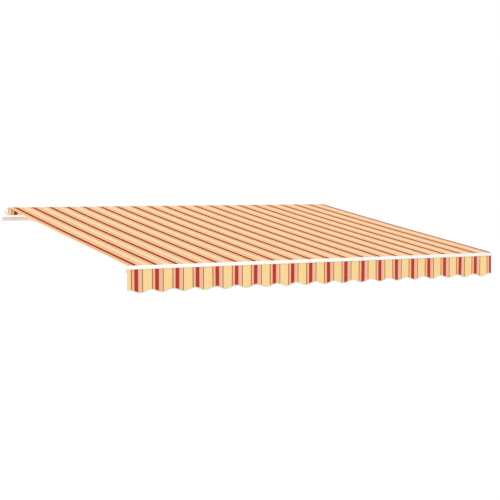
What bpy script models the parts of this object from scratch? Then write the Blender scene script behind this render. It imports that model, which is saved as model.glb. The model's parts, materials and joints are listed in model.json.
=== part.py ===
"""Folding-arm patio awning, about 4 m wide and 3 m deep, standing open on its wall brackets.

X runs along the wall, Y = 0 is the wall face and the awning reaches out towards -Y, Z is up.
The origin is the middle of the centre wall bracket's back face. Lengths are metres.
"""

import bmesh
import bpy
from math import acos, atan2, cos, pi, radians, sin, sqrt, tan
from mathutils import Matrix, Vector

# Overall
AWNING_WIDTH = 4.000  # over the outsides of the two roller plates
CANOPY_LENGTH = 3.064  # from the roller's tangent line to the groove of the front rail
ROLLER_PLATE = 0.010
ROLLER_END_ROOM = 0.040  # roller tube to a plate's inside, for the end cap and the gearbox
FABRIC_INSET = 0.010  # roller tube's end to the cloth's edge
RAIL_OVERHANG = 0.005  # rail beyond the cloth's edge
PLATE_INSIDE = AWNING_WIDTH / 2 - ROLLER_PLATE
ROLLER_LENGTH = 2 * (PLATE_INSIDE - ROLLER_END_ROOM)
FABRIC_WIDTH = ROLLER_LENGTH - 2 * FABRIC_INSET
RAIL_LENGTH = FABRIC_WIDTH + 2 * RAIL_OVERHANG

# Cloth
CANOPY_PITCH = radians(7.95)
CLOTH = 0.0006
VALANCE_DROP = 0.2208  # mean height of the scalloped hem below the rail's top edge
SCALLOP_HEIGHT = 0.0126  # half of the wave's full height
SCALLOP_PITCH = 0.2023
FIRST_NOTCH = -1.9238  # X of the first high point of the hem
STRIPE_PITCH = 0.18945
FIRST_RED_STRIPE = -1.8623  # X of the first red stripe's centre
BEAD_RADIUS = 0.0023  # the welt sewn into an edge that slides into a groove

# Common clearances
SEAT_GAP = 0.0003  # between pieces that touch
RUNNING_GAP = 0.0004  # round a pin that turns

# Torsion bar and what holds it
BAR_SIDE = 0.040
BAR_WALL = 0.0025
BAR_FROM_WALL = 0.060  # wall to the bar's centre
WALL_BRACKET_WIDTH = 0.110
WALL_BRACKET_HEIGHT = 0.170
WALL_BRACKET_PLATE = 0.008
WALL_BRACKET_SPREAD = 1.200  # X of the outer brackets
WALL_BOLT_HOLE = 0.006
WALL_BOLT_COLUMNS = 0.068  # between the two columns of anchor holes
WALL_BOLT_ROWS = 0.120
BRACKET_ARM = 0.015  # thickness of the bracket's arms above and below the bar
BRACKET_LIP = 0.009
BRACKET_LIP_DROP = 0.016  # how far the lip reaches down over the bar's front
KEEPER_THICKNESS = 0.008
KEEPER_WIDTH = 0.088
KEEPER_TOP = -0.006
CLAMP_BOLT_RADIUS = 0.004

# Roller and its drive
ROLLER_FROM_WALL = 0.123
ROLLER_RISE = 0.080
ROLLER_RADIUS = 0.039
ROLLER_WALL = 0.002
WOUND_THICKNESS = 0.0012  # the turns of cloth that stay on the roller
ROLLER_PLATE_REACH = 0.044  # radius of the plate round the roller's axis
ROLLER_PIN_RADIUS = 0.007
GEARBOX_THICKNESS = 0.028
GEARBOX_RADIUS = 0.031
CRANK_LEAN = radians(20)
CRANK_SHAFT_RADIUS = 0.005
CRANK_EYE_RADIUS = 0.014
CRANK_WIRE_RADIUS = 0.004

# Arms
SHOULDER_SPREAD = 1.585  # X of the shoulder and wrist axes
SHOULDER_FROM_WALL = 0.158
SHOULDER_RISE = -0.008
ELBOW_BEND = radians(9)  # each arm's angle off the straight line from shoulder to wrist
REAR_ARM_WIDTH = 0.035
REAR_ARM_HEIGHT = 0.060
REAR_ARM_OFFSET = 0.024  # link line to the middle of the tube, on the elbow's outer side
FOREARM_WIDTH = 0.030
FOREARM_HEIGHT = 0.052
FOREARM_OFFSET = 0.014
ARM_WALL = 0.0025
ARM_CORNER = 0.011
SHOULDER_EYE = 0.022
REAR_ELBOW_EYE = 0.020
FRONT_ELBOW_EYE = 0.018
ELBOW_NECK = 0.034  # elbow axis to where the fork and the tongue reach full section
WRIST_EYE = 0.015
EAR_THICKNESS = 0.007
PIN_RADIUS = 0.006
PIN_HEAD = 0.004
PIN_HEAD_RADIUS = 0.010
PIN_CHAMFER = 0.0012
SHOULDER_NECK = 0.050
SHOULDER_CASTING = 0.090  # from each joint's axis to where the tube starts
ELBOW_CASTING = 0.060
FRONT_ELBOW_CASTING = 0.070
WRIST_CASTING = 0.060
SPIGOT_LENGTH = 0.045
SPIGOT_ROOT = 0.010
SPRING_RADIUS = 0.009

# Shoulder bracket
ARM_BRACKET_WIDTH = 0.100
ARM_BRACKET_WALL = 0.0112
ARM_BRACKET_HOOK = 0.006
HOOK_TOP = -0.0102  # the hook behind the keeper ends this far below the bar's middle
BRACKET_BOLT_OFFSET = 0.036
CRADLE_WIDTH = 0.060
CRADLE_WEB = 0.015
CRADLE_REACH = 0.048  # shoulder axis to the front of the cradle's web
CHEEK_THICKNESS = 0.008
CHEEK_RADIUS = 0.009
PITCH_PIN_RADIUS = 0.004

# Front rail, measured from the line where the canopy enters its groove
RAIL_HEIGHT = 0.062
RAIL_DEPTH = 0.045
RAIL_TOP_DROP = 0.0008
NOSE_FRONT = 0.0047
NOSE_HEIGHT = 0.0326
LOWER_WALL_SETBACK = 0.0062
RAIL_WALL = 0.0025
GROOVE_RADIUS = 0.0028
GROOVE_MOUTH = 0.0018
CANOPY_GROOVE_DROP = 0.0052
VALANCE_GROOVE_RISE = 0.0052  # above the nose's lower edge
RAIL_CAP = 0.004
T_SLOT_MOUTH = 0.010
T_SLOT_WIDTH = 0.018
T_SLOT_DEPTH = 0.009
WRIST_BRACKET_WIDTH = 0.060
WRIST_BACK = 0.090
WRIST_DROP = 0.044

# Places worked out from the sizes
CANOPY_OUT = Vector((0, -cos(CANOPY_PITCH), -sin(CANOPY_PITCH)))
CANOPY_UP = Vector((0, -sin(CANOPY_PITCH), cos(CANOPY_PITCH)))
ROLLER_AXIS = Vector((0, -ROLLER_FROM_WALL, ROLLER_RISE))
WOUND_RADIUS = ROLLER_RADIUS + SEAT_GAP + WOUND_THICKNESS
TANGENT_LINE = ROLLER_AXIS + CANOPY_UP * WOUND_RADIUS
RAIL_EDGE = TANGENT_LINE + CANOPY_OUT * CANOPY_LENGTH
SHOULDER = Vector((0, -SHOULDER_FROM_WALL, SHOULDER_RISE))
WRIST = RAIL_EDGE + Vector((0, WRIST_BACK, -WRIST_DROP))
ARM_OUT = (WRIST - SHOULDER).normalized()
ARM_UP = Vector((0, ARM_OUT.z, -ARM_OUT.y))
ARM_LENGTH = (WRIST - SHOULDER).length / (2 * cos(ELBOW_BEND))

# Lays an outline drawn in Y and Z along X, or one drawn across an arm along the arm
ALONG_X = Matrix(((0, 0, 1, 0), (1, 0, 0, 0), (0, 1, 0, 0), (0, 0, 0, 1)))
SIDES = {"left": -1, "right": 1}


def clear_scene():
    for item in list(bpy.data.objects):
        bpy.data.objects.remove(item, do_unlink=True)


def material(name, color, roughness, metallic=0.0):
    made = bpy.data.materials.new(name)
    made.use_nodes = True
    shader = made.node_tree.nodes["Principled BSDF"]
    shader.inputs["Base Color"].default_value = (*color, 1)
    shader.inputs["Roughness"].default_value = roughness
    shader.inputs["Metallic"].default_value = metallic
    return made


def add_object(name, bm, finish, parent=None):
    """Turns a bmesh into an object. A parent's own frame is the mesh's frame."""
    bm.normal_update()
    bmesh.ops.recalc_face_normals(bm, faces=bm.faces)
    if bm.calc_volume(signed=True) < 0:
        bmesh.ops.reverse_faces(bm, faces=bm.faces)
    mesh = bpy.data.meshes.new(name)
    bm.to_mesh(mesh)
    bm.free()
    mesh.shade_smooth()
    mesh.set_sharp_from_angle(angle=radians(32))
    mesh.materials.append(finish)
    obj = bpy.data.objects.new(name, mesh)
    bpy.context.scene.collection.objects.link(obj)
    obj.parent = parent
    return obj


def add_empty(name, place, parent=None):
    obj = bpy.data.objects.new(name, None)
    bpy.context.scene.collection.objects.link(obj)
    obj.empty_display_size = 0.05
    obj.parent = parent
    obj.matrix_local = place
    return obj


def hold_in_world(obj, parent):
    """Parents a piece that is drawn in world coordinates."""
    bpy.context.view_layer.update()
    obj.parent = parent
    obj.matrix_parent_inverse = parent.matrix_world.inverted()


def rounded(corners, steps=3):
    """An outline through corners (x, y, radius), each fillet limited by the edges beside it."""
    points = []
    for i, (x, y, radius) in enumerate(corners):
        corner = Vector((x, y))
        before = Vector(corners[i - 1][:2]) - corner
        after = Vector(corners[(i + 1) % len(corners)][:2]) - corner
        if radius == 0:
            points.append((x, y))
            continue
        half = before.angle(after) / 2
        reach = min(radius / tan(half), 0.45 * before.length, 0.45 * after.length)
        radius = reach * tan(half)
        start = before.normalized() * reach
        middle = (before.normalized() + after.normalized()).normalized() * radius / sin(half)
        arm = start - middle
        turn = pi - 2 * half
        if before.x * after.y - before.y * after.x > 0:
            turn = -turn
        for step in range(steps + 1):
            spun = Matrix.Rotation(turn * step / steps, 2) @ arm
            points.append(tuple(corner + middle + spun))
    return points


def box_outline(low_x, high_x, low_y, high_y, radius=0.0, steps=3):
    corners = ((low_x, low_y), (high_x, low_y), (high_x, high_y), (low_x, high_y))
    return rounded([(x, y, radius) for x, y in corners], steps)


def arc(centre, radius, start, end, steps):
    turns = [start + (end - start) * i / steps for i in range(steps + 1)]
    return [(centre[0] + radius * cos(t), centre[1] + radius * sin(t)) for t in turns]


def eye_outline(radius, start, end, low, high, steps=12):
    """A round eye at the origin that runs tangentially into a neck, square between start and end."""
    first = atan2(high, start) + acos(radius / sqrt(start**2 + high**2))
    last = atan2(low, start) - acos(radius / sqrt(start**2 + low**2)) + 2 * pi
    neck = [(start, low), (end, low), (end, high), (start, high)]
    return arc((0, 0), radius, first, last, steps) + neck


def flipped(outline, x=1, y=1):
    return [(x * a, y * b) for a, b in outline]


def prism(name, loops, low, high, finish, parent=None, place=None):
    """Extrudes an outline, with any holes in it, from low to high along its own Z."""
    bm = bmesh.new()
    rims = []
    for loop in loops:
        verts = [bm.verts.new((x, y, low)) for x, y in loop]
        rims.append(verts)
    if len(rims) == 1:
        faces = [bm.faces.new(rims[0])]
    else:
        edges = [bm.edges.new((rim[i - 1], rim[i])) for rim in rims for i in range(len(rim))]
        made = bmesh.ops.triangle_fill(bm, use_beauty=True, edges=edges, normal=(0, 0, 1))
        faces = [item for item in made["geom"] if isinstance(item, bmesh.types.BMFace)]
    raised = bmesh.ops.extrude_face_region(bm, geom=faces)
    moved = [item for item in raised["geom"] if isinstance(item, bmesh.types.BMVert)]
    bmesh.ops.translate(bm, verts=moved, vec=(0, 0, high - low))
    if place:
        bm.transform(place)
    return add_object(name, bm, finish, parent)


def turned(name, profile, finish, parent=None, place=None, sides=20):
    """Spins a profile of (radius, height) points about its own Z."""
    bm = bmesh.new()
    verts = [bm.verts.new((radius, 0, height)) for radius, height in profile]
    edges = [bm.edges.new(pair) for pair in zip(verts, verts[1:])]
    bmesh.ops.spin(
        bm, geom=verts + edges, cent=(0, 0, 0), axis=(0, 0, 1), angle=2 * pi, steps=sides
    )
    bmesh.ops.remove_doubles(bm, verts=bm.verts, dist=1e-6)
    if place:
        bm.transform(place)
    return add_object(name, bm, finish, parent)


def rod(name, radius, start, end, finish, parent=None, sides=20):
    """A round bar between two points."""
    start, end = Vector(start), Vector(end)
    place = Matrix.Translation(start) @ (end - start).to_track_quat("Z", "Y").to_matrix().to_4x4()
    length = (end - start).length
    profile = [(0, 0), (radius, 0), (radius, length), (0, length)]
    return turned(name, profile, finish, parent, place, sides)


def pin(name, radius, head, grip, finish, parent=None, place=None):
    """A headed pin through a joint of half-height grip, with a retaining collar at its foot."""
    top = grip + SEAT_GAP
    profile = [
        (0, -top - PIN_HEAD),
        (head, -top - PIN_HEAD),
        (head, -top),
        (radius, -top),
        (radius, top),
        (head, top),
        (head, top + PIN_HEAD - PIN_CHAMFER),
        (head - PIN_CHAMFER, top + PIN_HEAD),
        (0, top + PIN_HEAD),
    ]
    return turned(name, profile, finish, parent, place)


def boolean(obj, other, operation):
    step = obj.modifiers.new(other.name, "BOOLEAN")
    step.operation = operation
    step.object = other
    step.solver = "EXACT"
    other.hide_render = True
    other.display_type = "WIRE"


def soften(obj, width, segments=2):
    step = obj.modifiers.new("edges", "BEVEL")
    step.width = width
    step.segments = segments
    step.limit_method = "ANGLE"
    step.angle_limit = radians(40)


def bore(obj, name, radius, start, end, parent=None):
    cutter = rod(name, radius, start, end, obj.data.materials[0], parent, 24)
    boolean(obj, cutter, "DIFFERENCE")


def bore_through(obj, name, radius, place, middle, half):
    """Bores both ways from a middle point, in the frame that place gives."""
    middle, half = Vector(middle), Vector(half)
    bore(obj, name, radius, place @ (middle - half), place @ (middle + half))


def make_materials():
    return {
        "coat": material("white_coat", (0.86, 0.86, 0.84), 0.42),
        "plastic": material("white_plastic", (0.80, 0.80, 0.78), 0.5),
        "steel": material("zinc_steel", (0.55, 0.56, 0.58), 0.35, 1.0),
        "spring": material("spring_steel", (0.30, 0.31, 0.33), 0.4, 1.0),
        "alloy": material("roller_alloy", (0.72, 0.73, 0.75), 0.35, 1.0),
        "yellow": material("cloth_yellow", (0.95, 0.66, 0.31), 0.9),
        "red": material("cloth_red", (0.48, 0.06, 0.04), 0.9),
        "salmon": material("cloth_salmon", (0.85, 0.46, 0.29), 0.9),
        "brown": material("cloth_brown", (0.35, 0.18, 0.08), 0.9),
    }


def stripe_plan():
    """The stripes across the cloth as (left edge, finish), from one repeat centred on its red band."""
    repeat = (
        (-0.0180, "red"),
        (0.0180, "salmon"),
        (0.0525, "brown"),
        (0.0615, "yellow"),
        (0.1445, "brown"),
        (0.1535, "salmon"),
    )
    half = FABRIC_WIDTH / 2
    plan = []
    count = int((half - FIRST_RED_STRIPE) / STRIPE_PITCH) + 3
    for k in range(-1, count):
        centre = FIRST_RED_STRIPE + k * STRIPE_PITCH
        plan += [(centre + edge, finish) for edge, finish in repeat]
    before = [finish for edge, finish in plan if edge <= -half][-1]
    return [(-half, before)] + [stripe for stripe in plan if -half < stripe[0] < half]


def cloth(name, section_at, cuts, finishes, parent=None):
    """Lofts a closed section along X, cut and coloured at every stripe edge."""
    stripes = stripe_plan()
    names = ("yellow", "red", "salmon", "brown")
    ends = sorted({round(x, 6) for x in cuts} | {round(x, 6) for x, _ in stripes})
    bm = bmesh.new()
    rings = [[bm.verts.new((x, y, z)) for y, z in section_at(x)] for x in ends]
    for near, far, x_near, x_far in zip(rings, rings[1:], ends, ends[1:]):
        middle = (x_near + x_far) / 2
        finish = [colour for edge, colour in stripes if edge <= middle][-1]
        for i in range(len(near)):
            face = bm.faces.new((near[i - 1], near[i], far[i], far[i - 1]))
            face.material_index = names.index(finish)
    bm.faces.new(rings[0])
    bm.faces.new(rings[-1])
    obj = add_object(name, bm, finishes[names[0]], parent)
    for key in names[1:]:
        obj.data.materials.append(finishes[key])
    return obj


def make_torsion_bar(finish):
    middle, half = -BAR_FROM_WALL, BAR_SIDE / 2
    inner = half - BAR_WALL
    loops = [
        box_outline(middle - half, middle + half, -half, half, 0.004),
        box_outline(middle - inner, middle + inner, -inner, inner, 0.002),
    ]
    end = PLATE_INSIDE - SEAT_GAP
    prism("torsion_bar", loops, -end, end, finish["coat"], place=ALONG_X)


def make_wall_bracket(name, x, finish):
    """An extruded hook: wall plate, upper arm with a lip over the bar, lower arm under it."""
    back = -BAR_FROM_WALL + BAR_SIDE / 2 + SEAT_GAP
    front = -BAR_FROM_WALL - BAR_SIDE / 2 - SEAT_GAP
    inside = BAR_SIDE / 2 + SEAT_GAP
    outside = inside + BRACKET_ARM
    tall = WALL_BRACKET_HEIGHT / 2
    corners = [
        (0, -tall, 0.001),
        (0, tall, 0.001),
        (-WALL_BRACKET_PLATE, tall, 0.003),
        (-WALL_BRACKET_PLATE, outside, 0.006),
        (front - BRACKET_LIP, outside, 0.008),
        (front - BRACKET_LIP, inside - BRACKET_LIP_DROP, 0.003),
        (front, inside - BRACKET_LIP_DROP, 0.001),
        (front, inside, 0),
        (back, inside, 0),
        (back, -inside, 0),
        (front, -inside, 0),
        (front, -outside, 0.002),
        (-WALL_BRACKET_PLATE, -outside, 0.006),
        (-WALL_BRACKET_PLATE, -tall, 0.003),
    ]
    hollow = box_outline(
        back + 0.006, -WALL_BRACKET_PLATE - 0.002, -inside + 0.002, inside - 0.002, 0.003
    )
    half = WALL_BRACKET_WIDTH / 2
    obj = prism(name, [rounded(corners), hollow], x - half, x + half, finish["coat"], place=ALONG_X)
    for column in (-1, 1):
        for row in (-1, 1):
            at = (x + column * WALL_BOLT_COLUMNS / 2, row * WALL_BOLT_ROWS / 2)
            label = f"{name}_hole_{column}_{row}"
            bore(obj, label, WALL_BOLT_HOLE, (at[0], 0.01, at[1]), (at[0], -0.02, at[1]))
    bolt_z = -inside - BRACKET_ARM / 2
    hole = CLAMP_BOLT_RADIUS + SEAT_GAP
    bore(obj, name + "_bolt_hole", hole, (x, front - 0.01, bolt_z), (x, front + 0.030, bolt_z))


def make_wall_keeper(suffix, x, finish):
    """The plate that shuts the bracket in front of the bar, and its bolt."""
    front = -BAR_FROM_WALL - BAR_SIDE / 2 - SEAT_GAP
    inside = BAR_SIDE / 2 + SEAT_GAP
    bolt_z = -inside - BRACKET_ARM / 2
    face = front - SEAT_GAP
    outline = box_outline(face - KEEPER_THICKNESS, face, -inside - BRACKET_ARM, KEEPER_TOP, 0.002)
    half = KEEPER_WIDTH / 2
    obj = prism("bracket_keeper_" + suffix, [outline], x - half, x + half, finish["coat"], place=ALONG_X)
    hole = CLAMP_BOLT_RADIUS + SEAT_GAP
    ends = (x, face - KEEPER_THICKNESS - 0.01, bolt_z), (x, face + 0.01, bolt_z)
    bore(obj, "keeper_hole_" + suffix, hole, *ends)
    clamp_bolt("keeper_bolt_" + suffix, (x, face - KEEPER_THICKNESS, bolt_z), 0.024, finish)


def clamp_bolt(name, seat, grip, finish, parent=None, out=(0, -1, 0)):
    """A hexagon-headed bolt whose head rests at seat and whose shank runs back from it."""
    place = Matrix.Translation(Vector(seat)) @ Vector(out).to_track_quat("Z", "X").to_matrix().to_4x4()
    head = CLAMP_BOLT_RADIUS * 1.7
    shank = [(0, -grip), (CLAMP_BOLT_RADIUS, -grip), (CLAMP_BOLT_RADIUS, 0.003), (0, 0.003)]
    obj = turned(name, shank, finish["steel"], parent, place, 16)
    hexagon = arc((0, 0), head, 0, 5 * pi / 3, 5)
    cap = prism(name + "_head", [hexagon], SEAT_GAP, SEAT_GAP + 0.0055, finish["steel"], parent, place)
    boolean(obj, cap, "UNION")


def make_roller_plate(side, finish):
    """The end plate: an eye round the roller's axis, a foot at the bar, and a spigot inside it."""
    sign = SIDES[side]
    foot = 0.75 * BAR_SIDE
    centre = Vector((-BAR_FROM_WALL, 0))
    eye = Vector((ROLLER_AXIS.y, ROLLER_AXIS.z))
    lean = atan2((eye - centre).y, (eye - centre).x)
    head = arc(eye, ROLLER_PLATE_REACH, lean - pi / 2, lean + pi / 2, 14)
    corners = [
        (*head[-1], 0),
        (centre.x - foot, -foot + 0.004, 0.008),
        (centre.x + foot, -foot + 0.004, 0.008),
        (centre.x + foot, foot, 0.012),
        (*head[0], 0),
    ]
    outline = rounded(corners) + head[1:-1]
    low, high = sorted((sign * PLATE_INSIDE, sign * AWNING_WIDTH / 2))
    obj = prism("roller_plate_" + side, [outline], low, high, finish["coat"], place=ALONG_X)
    soften(obj, 0.0015, 1)
    inner = BAR_SIDE / 2 - BAR_WALL - SEAT_GAP
    spigot_outline = box_outline(centre.x - inner, centre.x + inner, -inner, inner, 0.002)
    low, high = sorted((sign * (PLATE_INSIDE - 0.060), sign * (PLATE_INSIDE + 0.004)))
    spigot = prism("spigot_" + side, [spigot_outline], low, high, finish["coat"], place=ALONG_X)
    boolean(obj, spigot, "UNION")
    hole = ROLLER_PIN_RADIUS + RUNNING_GAP
    start = Vector((sign * (PLATE_INSIDE - 0.01), eye.x, eye.y))
    bore(obj, "roller_hole_" + side, hole, start, start + Vector((sign * 0.03, 0, 0)))


def make_roller(finish, axle):
    """The tube, the turns of cloth left on it, and the end plugs with their journals."""
    at = Matrix.Rotation(pi / 2, 4, "Y")
    half = ROLLER_LENGTH / 2
    inner = ROLLER_RADIUS - ROLLER_WALL
    tube = [arc((0, 0), radius, 0, 2 * pi * 31 / 32, 31) for radius in (ROLLER_RADIUS, inner)]
    prism("roller_tube", tube, -half, half, finish["alloy"], axle, at)
    skin = ROLLER_RADIUS + SEAT_GAP
    roll = [arc((0, 0), radius, 0, 2 * pi * 39 / 40, 39) for radius in (WOUND_RADIUS, skin)]
    half_cloth = FABRIC_WIDTH / 2
    prism("fabric_roll", roll, -half_cloth, half_cloth, finish["yellow"], axle, at)
    gearbox_inside = PLATE_INSIDE - SEAT_GAP - GEARBOX_THICKNESS
    for side, sign in SIDES.items():
        tip = gearbox_inside + 0.6 * GEARBOX_THICKNESS if sign > 0 else AWNING_WIDTH / 2 - 0.001
        face = half + SEAT_GAP
        profile = [
            (0, half - 0.030),
            (inner - SEAT_GAP, half - 0.030),
            (inner - SEAT_GAP, face),
            (ROLLER_RADIUS, face),
            (ROLLER_RADIUS, face + 0.003),
            (0.016, face + 0.006),
            (ROLLER_PIN_RADIUS, face + 0.006),
            (ROLLER_PIN_RADIUS, tip),
            (0, tip),
        ]
        facing = at if sign > 0 else Matrix.Rotation(-pi / 2, 4, "Y")
        turned("roller_cap_" + side, profile, finish["plastic"], axle, facing, 32)


def crank_frame():
    """The worm's axis: it passes in front of the roller's axis and leans out from the wall."""
    middle = PLATE_INSIDE - SEAT_GAP - GEARBOX_THICKNESS / 2
    down = Vector((0, -sin(CRANK_LEAN), -cos(CRANK_LEAN)))
    start = Vector((middle, ROLLER_AXIS.y - 0.019, ROLLER_AXIS.z - 0.010))
    return start, down


def make_gearbox(finish):
    high = PLATE_INSIDE - SEAT_GAP
    low = high - GEARBOX_THICKNESS
    eye = (ROLLER_AXIS.y, ROLLER_AXIS.z)
    outline = arc(eye, GEARBOX_RADIUS, 0, 2 * pi * 23 / 24, 23)
    obj = prism("gearbox", [outline], low, high, finish["plastic"], place=ALONG_X)
    soften(obj, 0.002, 2)
    start, down = crank_frame()
    boss = rod("worm_boss", 0.0125, start - down * 0.018, start + down * 0.034, finish["plastic"])
    boolean(obj, boss, "UNION")
    hole = ROLLER_PIN_RADIUS + RUNNING_GAP
    bore(obj, "drive_hole", hole, (low - 0.01, *eye), (low + 0.7 * GEARBOX_THICKNESS, *eye))
    shaft_hole = CRANK_SHAFT_RADIUS + RUNNING_GAP
    bore(obj, "worm_hole", shaft_hole, start + down * 0.012, start + down * 0.06)


def make_crank_eye(finish):
    """The loop under the gearbox that the crank's hook takes, on its shaft."""
    start, down = crank_frame()
    turn = down.to_track_quat("Z", "X").to_matrix().to_4x4()
    axle = add_empty("crank_axis", Matrix.Translation(start) @ turn)
    top, ring_at = 0.0125, 0.034 + 0.004 + CRANK_EYE_RADIUS + CRANK_WIRE_RADIUS
    shaft_end = ring_at - CRANK_EYE_RADIUS + 0.001
    profile = [
        (0, top),
        (CRANK_SHAFT_RADIUS, top),
        (CRANK_SHAFT_RADIUS, 0.034 + SEAT_GAP),
        (0.009, 0.034 + SEAT_GAP),
        (0.009, 0.034 + 0.003),
        (CRANK_SHAFT_RADIUS, shaft_end),
        (0, shaft_end),
    ]
    obj = turned("crank_eye", profile, finish["steel"], axle)
    bm = bmesh.new()
    wire = arc((0, 0), CRANK_WIRE_RADIUS, 0, 1.75 * pi, 7)
    rim = [bm.verts.new((CRANK_EYE_RADIUS + x, 0, z)) for x, z in wire]
    edges = [bm.edges.new((rim[i - 1], rim[i])) for i in range(len(rim))]
    bmesh.ops.spin(bm, geom=rim + edges, cent=(0, 0, 0), axis=(0, 0, 1), angle=2 * pi, steps=24)
    bmesh.ops.remove_doubles(bm, verts=bm.verts, dist=1e-6)
    bm.transform(Matrix.Translation((0, 0, ring_at)) @ Matrix.Rotation(pi / 2, 4, "X"))
    ring = add_object("crank_ring", bm, finish["steel"], axle)
    boolean(obj, ring, "UNION")


def pitch_pin_place():
    """Where the cradle is pinned to its bracket, in Y and Z: the middle of the cradle's web."""
    return SHOULDER - ARM_OUT * (CRADLE_REACH + CRADLE_WEB / 2)


def make_arm_bracket(side, finish):
    """The clamp on the bar that carries an arm, its keeper and bolt, and the pin of the cradle."""
    x = SIDES[side] * SHOULDER_SPREAD
    back = -BAR_FROM_WALL + BAR_SIDE / 2
    front = -BAR_FROM_WALL - BAR_SIDE / 2 - SEAT_GAP
    inside = BAR_SIDE / 2 + SEAT_GAP
    outside = inside + BRACKET_ARM
    keeper_front = back + SEAT_GAP
    keeper_back = keeper_front + KEEPER_THICKNESS
    hook_back = keeper_back + SEAT_GAP + ARM_BRACKET_HOOK
    face = front - ARM_BRACKET_WALL
    corners = [
        (face, -outside, 0.006),
        (face, outside, 0.006),
        (back, outside, 0.001),
        (back, inside, 0),
        (front, inside, 0),
        (front, -inside, 0),
        (keeper_back + SEAT_GAP, -inside, 0),
        (keeper_back + SEAT_GAP, HOOK_TOP, 0.001),
        (hook_back, HOOK_TOP, 0.002),
        (hook_back, -outside, 0.004),
    ]
    half = ARM_BRACKET_WIDTH / 2
    block = [rounded(corners)]
    obj = prism("arm_bracket_" + side, block, x - half, x + half, finish["coat"], place=ALONG_X)
    pivot = pitch_pin_place()
    for cheek in (-1, 1):
        near = x + cheek * (CRADLE_WIDTH / 2 + SEAT_GAP)
        far = near + cheek * CHEEK_THICKNESS
        outline = eye_outline(CHEEK_RADIUS, 0.012, pivot.y - front + 0.005, -0.018, 0.016)
        outline = [(pivot.y + a, pivot.z + b) for a, b in outline]
        low, high = sorted((near, far))
        ear = prism(f"cheek_{side}_{cheek}", [outline], low, high, finish["coat"], place=ALONG_X)
        boolean(obj, ear, "UNION")
    hole = PITCH_PIN_RADIUS + SEAT_GAP
    reach = CRADLE_WIDTH / 2 + CHEEK_THICKNESS
    ends = (x - reach - 0.01, pivot.y, pivot.z), (x + reach + 0.01, pivot.y, pivot.z)
    bore(obj, "cheek_hole_" + side, hole, *ends)
    bolt_z = inside + BRACKET_ARM / 2
    bolt_x = x + SIDES[side] * BRACKET_BOLT_OFFSET
    hole = CLAMP_BOLT_RADIUS + SEAT_GAP
    bore(obj, "bracket_hole_" + side, hole, (bolt_x, face - 0.01, bolt_z), (bolt_x, back + 0.01, bolt_z))
    plate = box_outline(keeper_front, keeper_back, -inside + SEAT_GAP, outside, 0.0015)
    keeper = prism("arm_keeper_" + side, [plate], x - half, x + half, finish["coat"], place=ALONG_X)
    bore(keeper, "arm_keeper_hole_" + side, hole, (bolt_x, back - 0.01, bolt_z), (bolt_x, 0, bolt_z))
    grip = keeper_back - face - 0.001
    clamp_bolt("arm_bracket_bolt_" + side, (bolt_x, face, bolt_z), grip, finish)
    along = Matrix.Translation((x, pivot.y, pivot.z)) @ Matrix.Rotation(pi / 2, 4, "Y")
    pin("cradle_pin_" + side, PITCH_PIN_RADIUS, 0.007, reach + SEAT_GAP, finish["steel"], place=along)


def cradle_frame(side):
    """At the shoulder axis: X along the wall, Y back towards it, Z along the axis."""
    back = -ARM_OUT
    turn = Matrix(((1, 0, 0), (0, back.y, ARM_UP.y), (0, back.z, ARM_UP.z))).to_4x4()
    return Matrix.Translation((SIDES[side] * SHOULDER_SPREAD, SHOULDER.y, SHOULDER.z)) @ turn


def make_cradle(side, finish):
    """The tilting fork that holds the shoulder pin: a web with an ear above and below the arm."""
    place = cradle_frame(side)
    inner = REAR_ARM_HEIGHT / 2 + 0.0005
    outer = inner + EAR_THICKNESS + 0.001
    half = CRADLE_WIDTH / 2
    back = CRADLE_REACH + CRADLE_WEB
    block = [box_outline(-half, half, CRADLE_REACH, back, 0.002)]
    web = prism("arm_cradle_" + side, block, -outer, outer, finish["coat"], place=place)
    for level in (-1, 1):
        outline = eye_outline(0.024, 0.030, back - 0.002, -0.028, 0.028)
        outline = [(b, a) for a, b in outline]
        low, high = sorted((level * inner, level * outer))
        ear = prism(f"ear_{side}_{level}", [outline], low, high, finish["coat"], place=place)
        boolean(web, ear, "UNION")
    hole = PIN_RADIUS + SEAT_GAP
    bore_through(web, "shoulder_hole_" + side, hole, place, (0, 0, 0), (0, 0, 0.06))
    middle = CRADLE_REACH + CRADLE_WEB / 2
    hole = PITCH_PIN_RADIUS + SEAT_GAP
    bore_through(web, "pitch_hole_" + side, hole, place, (0, middle, 0), (0.05, 0, 0))
    level = -0.54 * outer
    hole = CLAMP_BOLT_RADIUS + SEAT_GAP
    bore_through(web, "screw_hole_" + side, hole, place, (0, middle, level), (0, CRADLE_WEB, 0))
    face = -BAR_FROM_WALL - BAR_SIDE / 2 - SEAT_GAP - ARM_BRACKET_WALL
    seat = place @ Vector((0, CRADLE_REACH, level))
    grip = (face - SEAT_GAP - seat.y) / -ARM_OUT.y - 0.0008
    clamp_bolt("pitch_screw_" + side, seat, grip, finish, out=ARM_OUT)
    pin("shoulder_pin_" + side, PIN_RADIUS, PIN_HEAD_RADIUS, outer, finish["steel"], place=place)


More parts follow.
